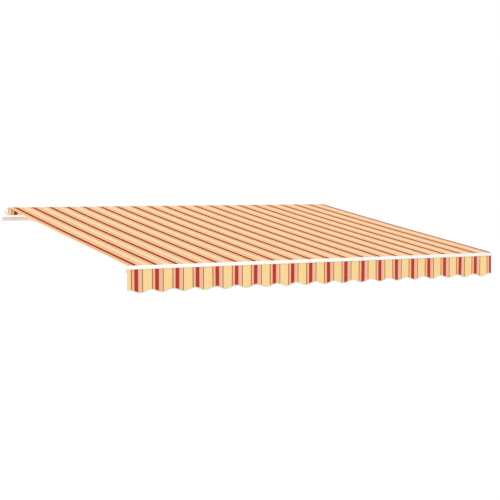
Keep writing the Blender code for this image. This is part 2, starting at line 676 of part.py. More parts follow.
def arm_axes(side):
    """Empties on the shoulder, elbow and wrist axes. Each X runs along its link and Z along the axis."""
    sign = SIDES[side]
    out, across = ARM_OUT, Vector((-sign, 0, 0))
    link = out * cos(ELBOW_BEND) + across * sin(ELBOW_BEND)
    width = ARM_UP.cross(link)
    turn = Matrix((link, width, ARM_UP)).transposed().to_4x4()
    place = Matrix.Translation((sign * SHOULDER_SPREAD, SHOULDER.y, SHOULDER.z)) @ turn
    shoulder = add_empty(side + "_shoulder_axis", place)
    bend = Matrix.Rotation(sign * 2 * ELBOW_BEND, 4, "Z")
    elbow = add_empty(side + "_elbow_axis", Matrix.Translation((ARM_LENGTH, 0, 0)) @ bend, shoulder)
    straighten = Matrix.Rotation(-sign * ELBOW_BEND, 4, "Z")
    wrist = add_empty(side + "_wrist_axis", Matrix.Translation((ARM_LENGTH, 0, 0)) @ straighten, elbow)
    return shoulder, elbow, wrist


def tube_section(size, shrink=0.0):
    """The outline of an arm's tube from (width, height, offset), or one set in by shrink."""
    width, height, offset = size
    half_w, half_h = width / 2 - shrink, height / 2 - shrink
    return box_outline(offset - half_w, offset + half_w, -half_h, half_h, ARM_CORNER - shrink, 4)


def arm_tube(name, size, start, end, finish, axis):
    loops = [tube_section(size), tube_section(size, ARM_WALL)]
    prism(name, loops, start + SEAT_GAP, end - SEAT_GAP, finish["coat"], axis, ALONG_X)


def add_spigot(casting, name, size, start, end, finish, axis):
    """The tongue of an end casting that fills the tube."""
    section = tube_section(size, ARM_WALL + SEAT_GAP)
    tongue = prism(name, [section], start, end, finish["coat"], axis, ALONG_X)
    boolean(casting, tongue, "UNION")


def bore_pin(obj, name, radius, along, axis):
    """The bore for a joint's pin, across the arm at a distance along it."""
    bore(obj, name, radius, (along, 0, -0.05), (along, 0, 0.05), axis)


def make_rear_arm(side, axis, finish):
    """Shoulder casting, tube and elbow fork. The tube lies beside the link line, on the outer side."""
    y = -SIDES[side]
    size, half_h = (REAR_ARM_WIDTH, REAR_ARM_HEIGHT, y * REAR_ARM_OFFSET), REAR_ARM_HEIGHT / 2
    low, high = REAR_ARM_OFFSET - REAR_ARM_WIDTH / 2, REAR_ARM_OFFSET + REAR_ARM_WIDTH / 2
    tube_start, tube_end = SHOULDER_CASTING, ARM_LENGTH - ELBOW_CASTING
    outline = flipped(eye_outline(SHOULDER_EYE, SHOULDER_NECK, tube_start, low, high), y=y)
    knuckle = prism("shoulder_knuckle_" + side, [outline], -half_h, half_h, finish["coat"], axis)
    soften(knuckle, 0.003)
    ends = tube_start - SPIGOT_ROOT, tube_start + SPIGOT_LENGTH
    add_spigot(knuckle, "shoulder_spigot_" + side, size, *ends, finish, axis)
    bore_pin(knuckle, "shoulder_bore_" + side, PIN_RADIUS + RUNNING_GAP, 0, axis)
    arm_tube("rear_arm_" + side, size, tube_start, tube_end, finish, axis)

    outline = eye_outline(REAR_ELBOW_EYE, ELBOW_NECK, ARM_LENGTH - tube_end, low, high)
    outline = [(ARM_LENGTH + a, b) for a, b in flipped(outline, x=-1, y=y)]
    fork = prism("rear_elbow_" + side, [outline], -half_h, half_h, finish["coat"], axis)
    soften(fork, 0.0025)
    gap = half_h - EAR_THICKNESS
    slot_outline = box_outline(ARM_LENGTH - ELBOW_NECK, ARM_LENGTH + 0.04, -0.07, 0.07)
    slot = prism("elbow_slot_" + side, [slot_outline], -gap, gap, finish["coat"], axis)
    boolean(fork, slot, "DIFFERENCE")
    ends = tube_end - SPIGOT_LENGTH, tube_end + SPIGOT_ROOT
    add_spigot(fork, "rear_elbow_spigot_" + side, size, *ends, finish, axis)
    bore_pin(fork, "rear_elbow_bore_" + side, PIN_RADIUS + SEAT_GAP, ARM_LENGTH, axis)
    place = Matrix.Translation((ARM_LENGTH, 0, 0))
    pin("elbow_pin_" + side, PIN_RADIUS, PIN_HEAD_RADIUS, half_h, finish["steel"], axis, place)


def make_forearm(side, axis, finish):
    """Elbow tongue, tube with the tension spring inside, and wrist tongue."""
    y = -SIDES[side]
    size, half_h = (FOREARM_WIDTH, FOREARM_HEIGHT, y * FOREARM_OFFSET), FOREARM_HEIGHT / 2
    low, high = FOREARM_OFFSET - FOREARM_WIDTH / 2, FOREARM_OFFSET + FOREARM_WIDTH / 2
    tube_start, tube_end = FRONT_ELBOW_CASTING, ARM_LENGTH - WRIST_CASTING
    tongue = REAR_ARM_HEIGHT / 2 - EAR_THICKNESS - 0.0005
    body_outline = flipped(box_outline(ELBOW_NECK + 0.004, tube_start, low, high), y=y)
    elbow = prism("front_elbow_" + side, [body_outline], -half_h, half_h, finish["coat"], axis)
    soften(elbow, 0.0025)
    neck_outline = eye_outline(FRONT_ELBOW_EYE, ELBOW_NECK, 0.050, low + 0.001, high - 0.001)
    neck_outline = flipped(neck_outline, y=y)
    neck = prism("elbow_tongue_" + side, [neck_outline], -tongue, tongue, finish["coat"], axis)
    boolean(elbow, neck, "UNION")
    ends = tube_start - SPIGOT_ROOT, tube_start + SPIGOT_LENGTH
    add_spigot(elbow, "front_elbow_spigot_" + side, size, *ends, finish, axis)
    bore_pin(elbow, "front_elbow_bore_" + side, PIN_RADIUS + RUNNING_GAP, 0, axis)
    arm_tube("forearm_" + side, size, tube_start, tube_end, finish, axis)

    spring_start = tube_start + SPIGOT_LENGTH + SEAT_GAP
    spring_end = tube_end - SPIGOT_LENGTH - SEAT_GAP
    profile = [
        (0, spring_start),
        (0.003, spring_start),
        (0.003, spring_start + 0.25),
        (SPRING_RADIUS, spring_start + 0.26),
        (SPRING_RADIUS, spring_end - 0.04),
        (0.003, spring_end - 0.03),
        (0.003, spring_end),
        (0, spring_end),
    ]
    place = Matrix.Translation((0, y * FOREARM_OFFSET, 0)) @ Matrix.Rotation(pi / 2, 4, "Y")
    turned("arm_spring_" + side, profile, finish["spring"], axis, place, 16)

    tongue = half_h - EAR_THICKNESS - 0.001
    body_outline = flipped(box_outline(-(ARM_LENGTH - tube_end), -0.034, low, high), y=y)
    body_outline = [(ARM_LENGTH + a, b) for a, b in body_outline]
    wrist = prism("wrist_knuckle_" + side, [body_outline], -half_h, half_h, finish["coat"], axis)
    soften(wrist, 0.0025)
    neck_outline = eye_outline(WRIST_EYE, 0.028, 0.045, low + 0.001, high - 0.001)
    neck_outline = [(ARM_LENGTH + a, b) for a, b in flipped(neck_outline, x=-1, y=y)]
    neck = prism("wrist_tongue_" + side, [neck_outline], -tongue, tongue, finish["coat"], axis)
    boolean(wrist, neck, "UNION")
    ends = tube_end - SPIGOT_LENGTH, tube_end + SPIGOT_ROOT
    add_spigot(wrist, "wrist_spigot_" + side, size, *ends, finish, axis)
    bore_pin(wrist, "wrist_bore_" + side, PIN_RADIUS + RUNNING_GAP, ARM_LENGTH, axis)


def rail_place(back, up):
    return (RAIL_EDGE.y + back, RAIL_EDGE.z + up)


def groove(centre_back, centre_up, upwards):
    """A keyhole groove's points, from one edge of its mouth round to the other."""
    half = GROOVE_MOUTH / 2
    lean = acos(half / GROOVE_RADIUS)
    if upwards:
        return arc((centre_back, centre_up), GROOVE_RADIUS, lean, lean - (pi + 2 * lean), 10)
    return arc((centre_back, centre_up), GROOVE_RADIUS, pi + lean, -lean, 10)


def rail_outline():
    """The extrusion's outer line: nose, valance groove, lower wall, T-slot, top and canopy groove."""
    half = GROOVE_MOUTH / 2
    slot_half, wide = T_SLOT_MOUTH / 2, T_SLOT_WIDTH / 2
    top, low = -RAIL_TOP_DROP, -NOSE_HEIGHT
    front = -NOSE_FRONT
    nose = rounded([(-half, top, 0), (front, top, 0.002), (front, low, 0.0016), (-half, low, 0)])
    lower = rounded(
        [
            (half, low, 0),
            (LOWER_WALL_SETBACK, low, 0.001),
            (LOWER_WALL_SETBACK, -RAIL_HEIGHT, 0.009),
            (RAIL_DEPTH, -RAIL_HEIGHT, 0.003),
            (RAIL_DEPTH, -WRIST_DROP - slot_half, 0),
            (RAIL_DEPTH - RAIL_WALL, -WRIST_DROP - slot_half, 0),
            (RAIL_DEPTH - RAIL_WALL, -WRIST_DROP - wide, 0),
            (RAIL_DEPTH - T_SLOT_DEPTH, -WRIST_DROP - wide, 0),
            (RAIL_DEPTH - T_SLOT_DEPTH, -WRIST_DROP + wide, 0),
            (RAIL_DEPTH - RAIL_WALL, -WRIST_DROP + wide, 0),
            (RAIL_DEPTH - RAIL_WALL, -WRIST_DROP + slot_half, 0),
            (RAIL_DEPTH, -WRIST_DROP + slot_half, 0),
            (RAIL_DEPTH, top, 0.006),
            (half, top, 0),
        ]
    )
    valance_groove = groove(0, low + VALANCE_GROOVE_RISE, upwards=False)
    canopy_groove = groove(0, -CANOPY_GROOVE_DROP, upwards=True)
    return nose + valance_groove + lower + canopy_groove


def make_rail(finish, axis):
    """The white front rail with its two grooves and chambers, and its end caps."""
    front = LOWER_WALL_SETBACK + RAIL_WALL
    back = RAIL_DEPTH - T_SLOT_DEPTH - RAIL_WALL
    step = -NOSE_HEIGHT
    upper = box_outline(front, back, step + RAIL_WALL, -RAIL_TOP_DROP - RAIL_WALL, 0.002)
    lower = box_outline(front, back, -RAIL_HEIGHT + RAIL_WALL, step, 0.004)
    high = -CANOPY_GROOVE_DROP - GROOVE_RADIUS - 0.0015
    low = step + VALANCE_GROOVE_RISE + GROOVE_RADIUS + 0.0015
    nose = box_outline(-NOSE_FRONT + 0.0018, LOWER_WALL_SETBACK, low, high, 0.001)
    loops = [[rail_place(*point) for point in loop] for loop in (rail_outline(), upper, lower, nose)]
    half = RAIL_LENGTH / 2
    bar = prism("front_bar", loops, -half, half, finish["coat"], place=ALONG_X)
    hold_in_world(bar, axis)
    corners = [
        (-NOSE_FRONT, -RAIL_TOP_DROP, 0.002),
        (-NOSE_FRONT, step, 0.0016),
        (LOWER_WALL_SETBACK, step, 0.001),
        (LOWER_WALL_SETBACK, -RAIL_HEIGHT, 0.009),
        (RAIL_DEPTH, -RAIL_HEIGHT, 0.003),
        (RAIL_DEPTH, -RAIL_TOP_DROP, 0.006),
    ]
    outline = [rail_place(*point) for point in rounded(corners)]
    for side, sign in SIDES.items():
        low_x, high_x = sorted((sign * (half + SEAT_GAP), sign * (half + SEAT_GAP + RAIL_CAP)))
        cap = prism("front_bar_cap_" + side, [outline], low_x, high_x, finish["plastic"], place=ALONG_X)
        soften(cap, 0.0012, 1)
        hold_in_world(cap, axis)


def make_wrist_bracket(side, axis, finish):
    """The fork on the rail's back that takes the forearm, held by a head in the T-slot."""
    place = cradle_frame(side)
    place.translation = Vector((SIDES[side] * SHOULDER_SPREAD, WRIST.y, WRIST.z))
    x = place.translation.x
    inner = FOREARM_HEIGHT / 2 - EAR_THICKNESS - 0.0005
    outer = inner + EAR_THICKNESS + 0.001
    rail_back = RAIL_EDGE.y + RAIL_DEPTH + SEAT_GAP
    low, high = WRIST.z - outer - 0.003, WRIST.z + outer - 0.002
    outline = box_outline(rail_back, rail_back + 0.006, low, high, 0.0015)
    half = WRIST_BRACKET_WIDTH / 2
    plate = prism("wrist_bracket_" + side, [outline], x - half, x + half, finish["coat"], place=ALONG_X)
    soften(plate, 0.001, 1)
    for level in (-1, 1):
        rise = level * (inner + outer) / 2
        reach = (WRIST.y + rise * ARM_UP.y - rail_back - 0.003) / ARM_UP.z
        outline = [(b, -a) for a, b in eye_outline(WRIST_EYE + 0.001, 0.020, reach, -0.020, 0.020)]
        low, high = sorted((level * inner, level * outer))
        ear = prism(f"wrist_ear_{side}_{level}", [outline], low, high, finish["coat"], place=place)
        boolean(plate, ear, "UNION")
    neck_half, head_half = T_SLOT_MOUTH / 2 - 0.0005, T_SLOT_WIDTH / 2 - 0.0005
    head_front = rail_back - T_SLOT_DEPTH + 0.001
    head_back = RAIL_EDGE.y + RAIL_DEPTH - RAIL_WALL - SEAT_GAP
    lug = [
        (rail_back + 0.003, WRIST.z - neck_half),
        (head_back, WRIST.z - neck_half),
        (head_back, WRIST.z - head_half),
        (head_front, WRIST.z - head_half),
        (head_front, WRIST.z + head_half),
        (head_back, WRIST.z + head_half),
        (head_back, WRIST.z + neck_half),
        (rail_back + 0.003, WRIST.z + neck_half),
    ]
    hammer = prism("slot_head_" + side, [lug], x - 0.020, x + 0.020, finish["coat"], place=ALONG_X)
    boolean(plate, hammer, "UNION")
    hole = PIN_RADIUS + SEAT_GAP
    bore_through(plate, "wrist_hole_" + side, hole, place, (0, 0, 0), (0, 0, 0.06))
    bolt = pin("wrist_pin_" + side, PIN_RADIUS, PIN_HEAD_RADIUS, outer, finish["steel"], place=place)
    for obj in (plate, bolt):
        hold_in_world(obj, axis)


def make_canopy(finish):
    """The taut cloth from the roller's tangent line to the rail, with its welt in the groove."""
    under = TANGENT_LINE + CANOPY_UP * SEAT_GAP
    over = under + CANOPY_UP * CLOTH
    edge = RAIL_EDGE.y
    half = CLOTH / 2

    def height(start, y):
        return start.z + (start.y - y) * -tan(CANOPY_PITCH)

    lean = acos(half / BEAD_RADIUS)
    bead = arc((edge, RAIL_EDGE.z - CANOPY_GROOVE_DROP), BEAD_RADIUS, pi - lean, 2 * pi + lean, 9)
    section = [
        (under.y, under.z),
        (over.y, over.z),
        (edge - half, height(over, edge - half)),
        *bead,
        (edge + half, height(under, edge + half)),
    ]
    cloth("canopy", lambda x: section, (-FABRIC_WIDTH / 2, FABRIC_WIDTH / 2), finish)


def hem_height(x):
    return -VALANCE_DROP + SCALLOP_HEIGHT * cos(2 * pi * (x - FIRST_NOTCH) / SCALLOP_PITCH)


def make_valance(finish, axis):
    """The scalloped strip that hangs from the rail's lower groove."""
    half = CLOTH / 2
    lean = acos(half / BEAD_RADIUS)
    centre = rail_place(0, -NOSE_HEIGHT + VALANCE_GROOVE_RISE)
    bead = arc(centre, BEAD_RADIUS, -pi / 2 + (pi / 2 - lean), 3 * pi / 2 - (pi / 2 - lean), 9)

    def section(x):
        hem = rail_place(0, hem_height(x))[1]
        return [*bead, (centre[0] - half, hem), (centre[0] + half, hem)]

    steps = 10
    count = int(FABRIC_WIDTH / SCALLOP_PITCH * steps) + 1
    cuts = [-FABRIC_WIDTH / 2 + FABRIC_WIDTH * i / count for i in range(count + 1)]
    hold_in_world(cloth("valance", section, cuts, finish), axis)


def main():
    clear_scene()
    finish = make_materials()
    make_torsion_bar(finish)
    brackets = {"left": -WALL_BRACKET_SPREAD, "centre": 0.0, "right": WALL_BRACKET_SPREAD}
    for name, x in brackets.items():
        make_wall_bracket("wall_bracket_" + name, x, finish)
        make_wall_keeper(name, x, finish)
    axle = add_empty("roller_axis", Matrix.Translation(ROLLER_AXIS))
    make_roller(finish, axle)
    make_gearbox(finish)
    make_crank_eye(finish)
    for side in SIDES:
        make_roller_plate(side, finish)
        make_arm_bracket(side, finish)
        make_cradle(side, finish)
        shoulder, elbow, wrist = arm_axes(side)
        make_rear_arm(side, shoulder, finish)
        make_forearm(side, elbow, finish)
        if side == "left":
            rail_axis = wrist
        make_wrist_bracket(side, rail_axis, finish)
    make_rail(finish, rail_axis)
    make_canopy(finish)
    make_valance(finish, rail_axis)


main()
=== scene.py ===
import json
import math

import bmesh
import bpy
from mathutils import Matrix, Vector


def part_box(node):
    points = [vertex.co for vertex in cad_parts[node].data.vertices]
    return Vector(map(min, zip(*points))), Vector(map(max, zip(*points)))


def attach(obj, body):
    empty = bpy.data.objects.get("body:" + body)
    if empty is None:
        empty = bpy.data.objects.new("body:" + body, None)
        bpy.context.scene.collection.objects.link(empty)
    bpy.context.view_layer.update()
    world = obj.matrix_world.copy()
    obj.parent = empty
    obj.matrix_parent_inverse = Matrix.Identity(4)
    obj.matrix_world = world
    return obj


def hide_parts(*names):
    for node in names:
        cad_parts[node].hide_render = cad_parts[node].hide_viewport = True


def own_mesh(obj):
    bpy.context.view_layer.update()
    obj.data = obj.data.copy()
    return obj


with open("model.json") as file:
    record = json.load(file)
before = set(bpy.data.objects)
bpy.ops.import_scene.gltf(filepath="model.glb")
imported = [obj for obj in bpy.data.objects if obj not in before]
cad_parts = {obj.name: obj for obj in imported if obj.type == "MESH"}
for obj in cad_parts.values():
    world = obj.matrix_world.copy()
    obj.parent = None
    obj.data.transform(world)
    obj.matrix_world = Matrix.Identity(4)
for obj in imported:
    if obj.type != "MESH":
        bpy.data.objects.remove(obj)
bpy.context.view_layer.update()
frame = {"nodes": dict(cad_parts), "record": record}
nodeBody = {node: body for body, nodes in frame["record"]["behaviour"]["bodies"].items() for node in nodes}

# The lines the cloth runs between, as the frame has them, in metres
run = {
    "width": 3.880,
    "thickness": 0.0006,
    "rollerLine": Vector((0, -0.128602, 0.120111)),
    "railLine": Vector((0, -3.163154, -0.303668)),
    "rollerAxis": Vector((0, -0.123, 0.080)),
    "rollRadius": 0.0405,
    "armDirection": Vector((0, -0.993280, -0.115735)),
    "armUp": Vector((0, -0.115735, 0.993280)),
    "keptAtFold": 0.092663,
    "gap": 0.0003,
}
run["length"] = (run["railLine"] - run["rollerLine"]).length
run["down"] = (run["railLine"] - run["rollerLine"]).normalized()
run["up"] = Vector((0, run["down"].z, -run["down"].y))
half = run["width"] / 2
print("frame loaded with", len(frame["nodes"]), "nodes")


# Camera: read off the photograph's corners and stripe spacing
camera = {"lens": 86.92, "yaw": 29.624, "pitch": 3.189, "place": (-5.951, -12.260, 0.377), "farthest": 200}
cameraData = bpy.data.cameras.new("photoCamera")
cameraData.lens = camera["lens"]
cameraData.clip_end = camera["farthest"]
cameraObject = bpy.data.objects.new("photoCamera", cameraData)
bpy.context.scene.collection.objects.link(cameraObject)
cameraObject.location = camera["place"]
cameraObject.rotation_euler = (math.radians(90 - camera["pitch"]), 0, math.radians(-camera["yaw"]))
bpy.context.scene.camera = cameraObject
print("camera placed")


# Modelling helpers

def selectOnly(piece):
    bpy.ops.object.select_all(action="DESELECT")
    piece.select_set(True)
    bpy.context.view_layer.objects.active = piece


def applyModifier(piece, kind, **settings):
    selectOnly(piece)
    step = piece.modifiers.new(kind.lower(), kind)
    for key, value in settings.items():
        setattr(step, key, value)
    bpy.ops.object.modifier_apply(modifier=step.name)


def breakEdges(piece, width):
    sharp = math.radians(50)
    applyModifier(piece, "BEVEL", width=width, segments=2, limit_method="ANGLE", angle_limit=sharp)


def smoothByAngle(piece, degrees):
    selectOnly(piece)
    bpy.ops.object.shade_smooth_by_angle(angle=math.radians(degrees))


def setMaterial(piece, material):
    piece.data.materials.clear()
    piece.data.materials.append(material)


def mergeDoubles():
    bpy.ops.mesh.select_all(action="SELECT")
    bpy.ops.mesh.remove_doubles(threshold=0.00001)


def addCylinder(name, sides, radius, low, high):
    bpy.ops.object.select_all(action="DESELECT")
    low, high = Vector(low), Vector(high)
    bpy.ops.mesh.primitive_cylinder_add(
        vertices=sides,
        radius=radius,
        depth=(high - low).length,
        location=(low + high) / 2,
        rotation=(high - low).to_track_quat("Z", "Y").to_euler(),
    )
    piece = bpy.context.object
    piece.name = name
    bpy.ops.object.transform_apply(location=True, rotation=True, scale=True)
    return piece


# In edit mode: the faces that pass a test of their normal
def pickFaces(piece, test):
    bpy.ops.mesh.select_mode(type="FACE")
    bpy.ops.mesh.select_all(action="DESELECT")
    edited = bmesh.from_edit_mesh(piece.data)
    for face in edited.faces:
        if test(face.normal):
            face.select_set(True)
    bmesh.update_edit_mesh(piece.data)


def copyPiece(piece, name):
    made = piece.copy()
    made.data = piece.data.copy()
    made.name = name
    bpy.context.scene.collection.objects.link(made)
    return made


def joinPieces(pieces, name):
    bpy.ops.object.select_all(action="DESELECT")
    for piece in pieces:
        piece.select_set(True)
    bpy.context.view_layer.objects.active = pieces[0]
    if len(pieces) > 1:
        bpy.ops.object.join()
    bpy.ops.object.transform_apply(location=True, rotation=True, scale=True)
    pieces[0].name = name
    return pieces[0]


# A piece made on the Z axis is set on a place, with that axis along another
def standAlong(piece, place, axis):
    piece.matrix_world = Matrix.Translation(place) @ axis.to_track_quat("Z", "Y").to_matrix().to_4x4()


def pieceName(node):
    words = node.split("_")
    return words[0] + "".join(word.capitalize() for word in words[1:])


# Node-tree helpers, for a material or the world

def newMaterial(name, color, roughness, metallic=0.0):
    made = bpy.data.materials.new(name)
    made.use_nodes = True
    shader = shaderOf(made)
    shader.inputs["Base Color"].default_value = (*color, 1)
    shader.inputs["Roughness"].default_value = roughness
    shader.inputs["Metallic"].default_value = metallic
    return made


def addNode(owner, kind, settings=(), inputs=()):
    node = owner.node_tree.nodes.new(kind)
    for key, value in dict(settings).items():
        setattr(node, key, value)
    for key, value in dict(inputs).items():
        socket = node.inputs[key]
        if isinstance(value, bpy.types.NodeSocket):
            owner.node_tree.links.new(value, socket)
        else:
            socket.default_value = value
    return node


def mathOut(owner, operation, a, b=0.0):
    return addNode(owner, "ShaderNodeMath", {"operation": operation}, {0: a, 1: b}).outputs[0]


def shaderOf(material):
    return material.node_tree.nodes["Principled BSDF"]


def plug(material, value, name):
    material.node_tree.links.new(value, shaderOf(material).inputs[name])


# The base colour times a tone that changes over the piece: inputs 6 and 7 are the mix's two colours
def tintBase(material, color, tone):
    settings = {"data_type": "RGBA", "blend_type": "MULTIPLY"}
    mixed = addNode(material, "ShaderNodeMix", settings, {"Factor": 1.0, 6: color, 7: tone})
    plug(material, mixed.outputs[2], "Base Color")


def objectPoint(material, scale=(1, 1, 1)):
    place = addNode(material, "ShaderNodeTexCoord").outputs["Object"]
    return addNode(material, "ShaderNodeMapping", inputs={"Vector": place, "Scale": scale}).outputs["Vector"]


def sheetPoint(material, sheetMap, scale):
    return addNode(material, "ShaderNodeMapping", inputs={"Vector": sheetMap, "Scale": scale}).outputs["Vector"]


def noise(material, point, scale, detail=3.0, roughness=0.55):
    inputs = {"Vector": point, "Scale": scale, "Detail": detail, "Roughness": roughness}
    return addNode(material, "ShaderNodeTexNoise", inputs=inputs).outputs["Fac"]


def rangeOf(material, value, low, high, fromLow=0.0, fromHigh=1.0):
    inputs = {"Value": value, "From Min": fromLow, "From Max": fromHigh, "To Min": low, "To Max": high}
    return addNode(material, "ShaderNodeMapRange", inputs=inputs).outputs["Result"]


# Noise brought to a range: most of its own values lie between 0.3 and 0.7
def patches(material, point, scale, low, high):
    return rangeOf(material, noise(material, point, scale), low, high, fromLow=0.3, fromHigh=0.7)


def bump(material, height, distance, strength=1.0):
    inputs = {"Height": height, "Distance": distance, "Strength": strength}
    plug(material, addNode(material, "ShaderNodeBump", inputs=inputs).outputs["Normal"], "Normal")


# One for the rays that see the white ground: from the camera, off gloss and through glass
def seenRays(owner):
    rays = addNode(owner, "ShaderNodeLightPath").outputs
    seen = mathOut(owner, "MAXIMUM", rays["Is Camera Ray"], rays["Is Glossy Ray"])
    return mathOut(owner, "MAXIMUM", seen, rays["Is Transmission Ray"])


def fromBytes(r, g, b):
    return tuple(((v / 255 + 0.055) / 1.055) ** 2.4 for v in (r, g, b))


# Powder coat: fine orange peel and a little unevenness in tone and gloss
def powderCoat(name, color, grain, depth):
    made = newMaterial(name, color, roughness=0.42)
    point = objectPoint(made)
    tintBase(made, (*color, 1), patches(made, point, scale=7.0, low=0.982, high=1.0))
    plug(made, patches(made, point, scale=45.0, low=0.34, high=0.52), "Roughness")
    bump(made, noise(made, point, grain, detail=2.0), depth)
    return made


# Zinc plate: fine spangle, uneven gloss
def zincPlate(name, color):
    made = newMaterial(name, color, roughness=0.35, metallic=1.0)
    point = objectPoint(made)
    spangle = addNode(made, "ShaderNodeTexVoronoi", inputs={"Vector": point, "Scale": 260.0}).outputs["Color"]
    grey = addNode(made, "ShaderNodeRGBToBW", inputs={"Color": spangle}).outputs["Val"]
    tintBase(made, (*color, 1), rangeOf(made, grey, low=0.86, high=1.06))
    plug(made, patches(made, point, scale=180.0, low=0.24, high=0.46), "Roughness")
    bump(made, noise(made, point, 900.0, detail=2.0), distance=0.00002)
    return made


# Drawn metal: fine scratches along the tube
def drawnMetal(name, color, stretch):
    made = newMaterial(name, color, roughness=0.35, metallic=1.0)
    streaks = noise(made, objectPoint(made, stretch), 1.0, detail=4.0, roughness=0.7)
    tintBase(made, (*color, 1), rangeOf(made, streaks, low=0.88, high=1.06, fromLow=0.25, fromHigh=0.75))
    plug(made, rangeOf(made, streaks, low=0.28, high=0.5, fromLow=0.25, fromHigh=0.75), "Roughness")
    bump(made, streaks, distance=0.00003)
    return made


# Moulded plastic: a fine pebbled grain
def mouldedPlastic(name, color):
    made = newMaterial(name, color, roughness=0.48)
    point = objectPoint(made)
    cells = addNode(made, "ShaderNodeTexVoronoi", {"feature": "SMOOTH_F1"}, {"Vector": point, "Scale": 1500.0})
    tintBase(made, (*color, 1), patches(made, point, scale=12.0, low=0.95, high=1.03))
    plug(made, patches(made, point, scale=60.0, low=0.4, high=0.56), "Roughness")
    bump(made, cells.outputs["Distance"], distance=0.00004)
    return made


# Sewing thread: two plies twisted along the row
def sewingThread(name, color):
    made = newMaterial(name, color, roughness=0.6)
    plies = noise(made, objectPoint(made), 1400.0, detail=2.0)
    tintBase(made, (*color, 1), rangeOf(made, plies, low=0.86, high=1.05, fromLow=0.3, fromHigh=0.7))
    bump(made, plies, distance=0.0001)
    return made


# Striped awning cloth, read from the sheet's own UV map in metres: U across the stripes, V along them
stripes = {
    "firstRed": -1.8623,  # centre of the first red band
    "pitch": 0.18945,
    "valanceBands": (  # from the red band's left edge: width in metres, colour
        (0.0348, fromBytes(182, 63, 50)),
        (0.0202, fromBytes(240, 186, 156)),
        (0.0158, fromBytes(240, 195, 162)),
        (0.0072, fromBytes(158, 86, 46)),
        (0.0819, fromBytes(252, 216, 155)),
        (0.0075, fromBytes(132, 64, 24)),
        (0.02205, fromBytes(251, 186, 151)),
    ),
    "canopyBands": (  # the same cloth with painted sheen: its pale bands drawn lighter for the grazing light on the canopy's top, its red darker
        (0.0345, fromBytes(156, 41, 4)),
        (0.0205, fromBytes(250, 190, 148)),
        (0.0158, fromBytes(255, 209, 168)),
        (0.0072, fromBytes(188, 124, 80)),
        (0.0819, fromBytes(252, 218, 171)),
        (0.0075, fromBytes(174, 106, 64)),
        (0.02205, fromBytes(255, 198, 154)),
    ),
    "canopyShift": 0.0048,
    "valanceShift": -0.0035,
}
weave = {
    "threads": (0.00042, 0.00062),  # spacing of the threads across and along, in metres
    "tapeThreads": (0.0006, 0.0006),
    "tapeBands": ((stripes["pitch"], fromBytes(228, 226, 210)),),
    "streaks": (900.0, 3.0, 1.0),  # single threads that run on along the stripes
    "slubs": (5.0, 700.0, 1.0),  # and across them
    "clouds": 2.6,
    "cloudShare": 0.5,
    "relief": 0.00016,
    "reliefStrength": 0.8,
}


def wovenCloth(name, bands, threads):
    made = newMaterial(name, bands[0][1], roughness=0.85)
    sheetMap = addNode(made, "ShaderNodeUVMap", {"uv_map": "clothMap"}).outputs["UV"]
    parts = addNode(made, "ShaderNodeSeparateXYZ", inputs={"Vector": sheetMap})
    across, along = parts.outputs["X"], parts.outputs["Y"]

    # The stripes: one repeat as a ramp with hard steps
    fromEdge = mathOut(made, "SUBTRACT", across, stripes["firstRed"] - bands[0][0] / 2)
    share = mathOut(made, "FRACT", mathOut(made, "DIVIDE", fromEdge, stripes["pitch"]))
    ramp = addNode(made, "ShaderNodeValToRGB", inputs={"Fac": share})
    ramp.color_ramp.interpolation = "CONSTANT"
    steps = ramp.color_ramp.elements
    reached = 0.0
    for i, (width, color) in enumerate(bands):
        stop = steps[0] if i == 0 else steps.new(reached / stripes["pitch"])
        stop.position = reached / stripes["pitch"]
        stop.color = (*color, 1)
        reached += width
    steps.remove(steps[-1])

    # Plain weave: warp and weft take turns on top
    warp = mathOut(made, "SINE", mathOut(made, "MULTIPLY", across, math.pi / threads[0]))
    weft = mathOut(made, "SINE", mathOut(made, "MULTIPLY", along, math.pi / threads[1]))
    over = rangeOf(made, mathOut(made, "MULTIPLY", warp, weft), 0.0, 1.0, fromLow=-1.0)
    under = mathOut(made, "SUBTRACT", 1.0, over)
    warpHeight = mathOut(made, "MULTIPLY", mathOut(made, "ABSOLUTE", warp), over)
    weftHeight = mathOut(made, "MULTIPLY", mathOut(made, "ABSOLUTE", weft), under)
    height = mathOut(made, "ADD", warpHeight, weftHeight)

    # Uneven threads, and the small shadows between them
    streaks = noise(made, sheetPoint(made, sheetMap, weave["streaks"]), 1.0, detail=2.0)
    slubs = noise(made, sheetPoint(made, sheetMap, weave["slubs"]), 1.0, detail=2.0)
    clouds = mathOut(made, "MULTIPLY", noise(made, sheetMap, weave["clouds"], detail=2.0), weave["cloudShare"])
    uneven = mathOut(made, "ADD", mathOut(made, "ADD", streaks, slubs), clouds)
    tone = rangeOf(made, uneven, low=0.95, high=1.05, fromLow=0.95, fromHigh=1.55)
    shade = mathOut(made, "MULTIPLY", tone, rangeOf(made, height, low=0.93, high=1.02))
    tintBase(made, ramp.outputs["Color"], shade)
    bump(made, height, weave["relief"], weave["reliefStrength"])
    shader = shaderOf(made)
    shader.inputs["Specular IOR Level"].default_value = 0.03
    shader.inputs["Sheen Weight"].default_value = 0.01
    shader.inputs["Sheen Roughness"].default_value = 0.5
    return made


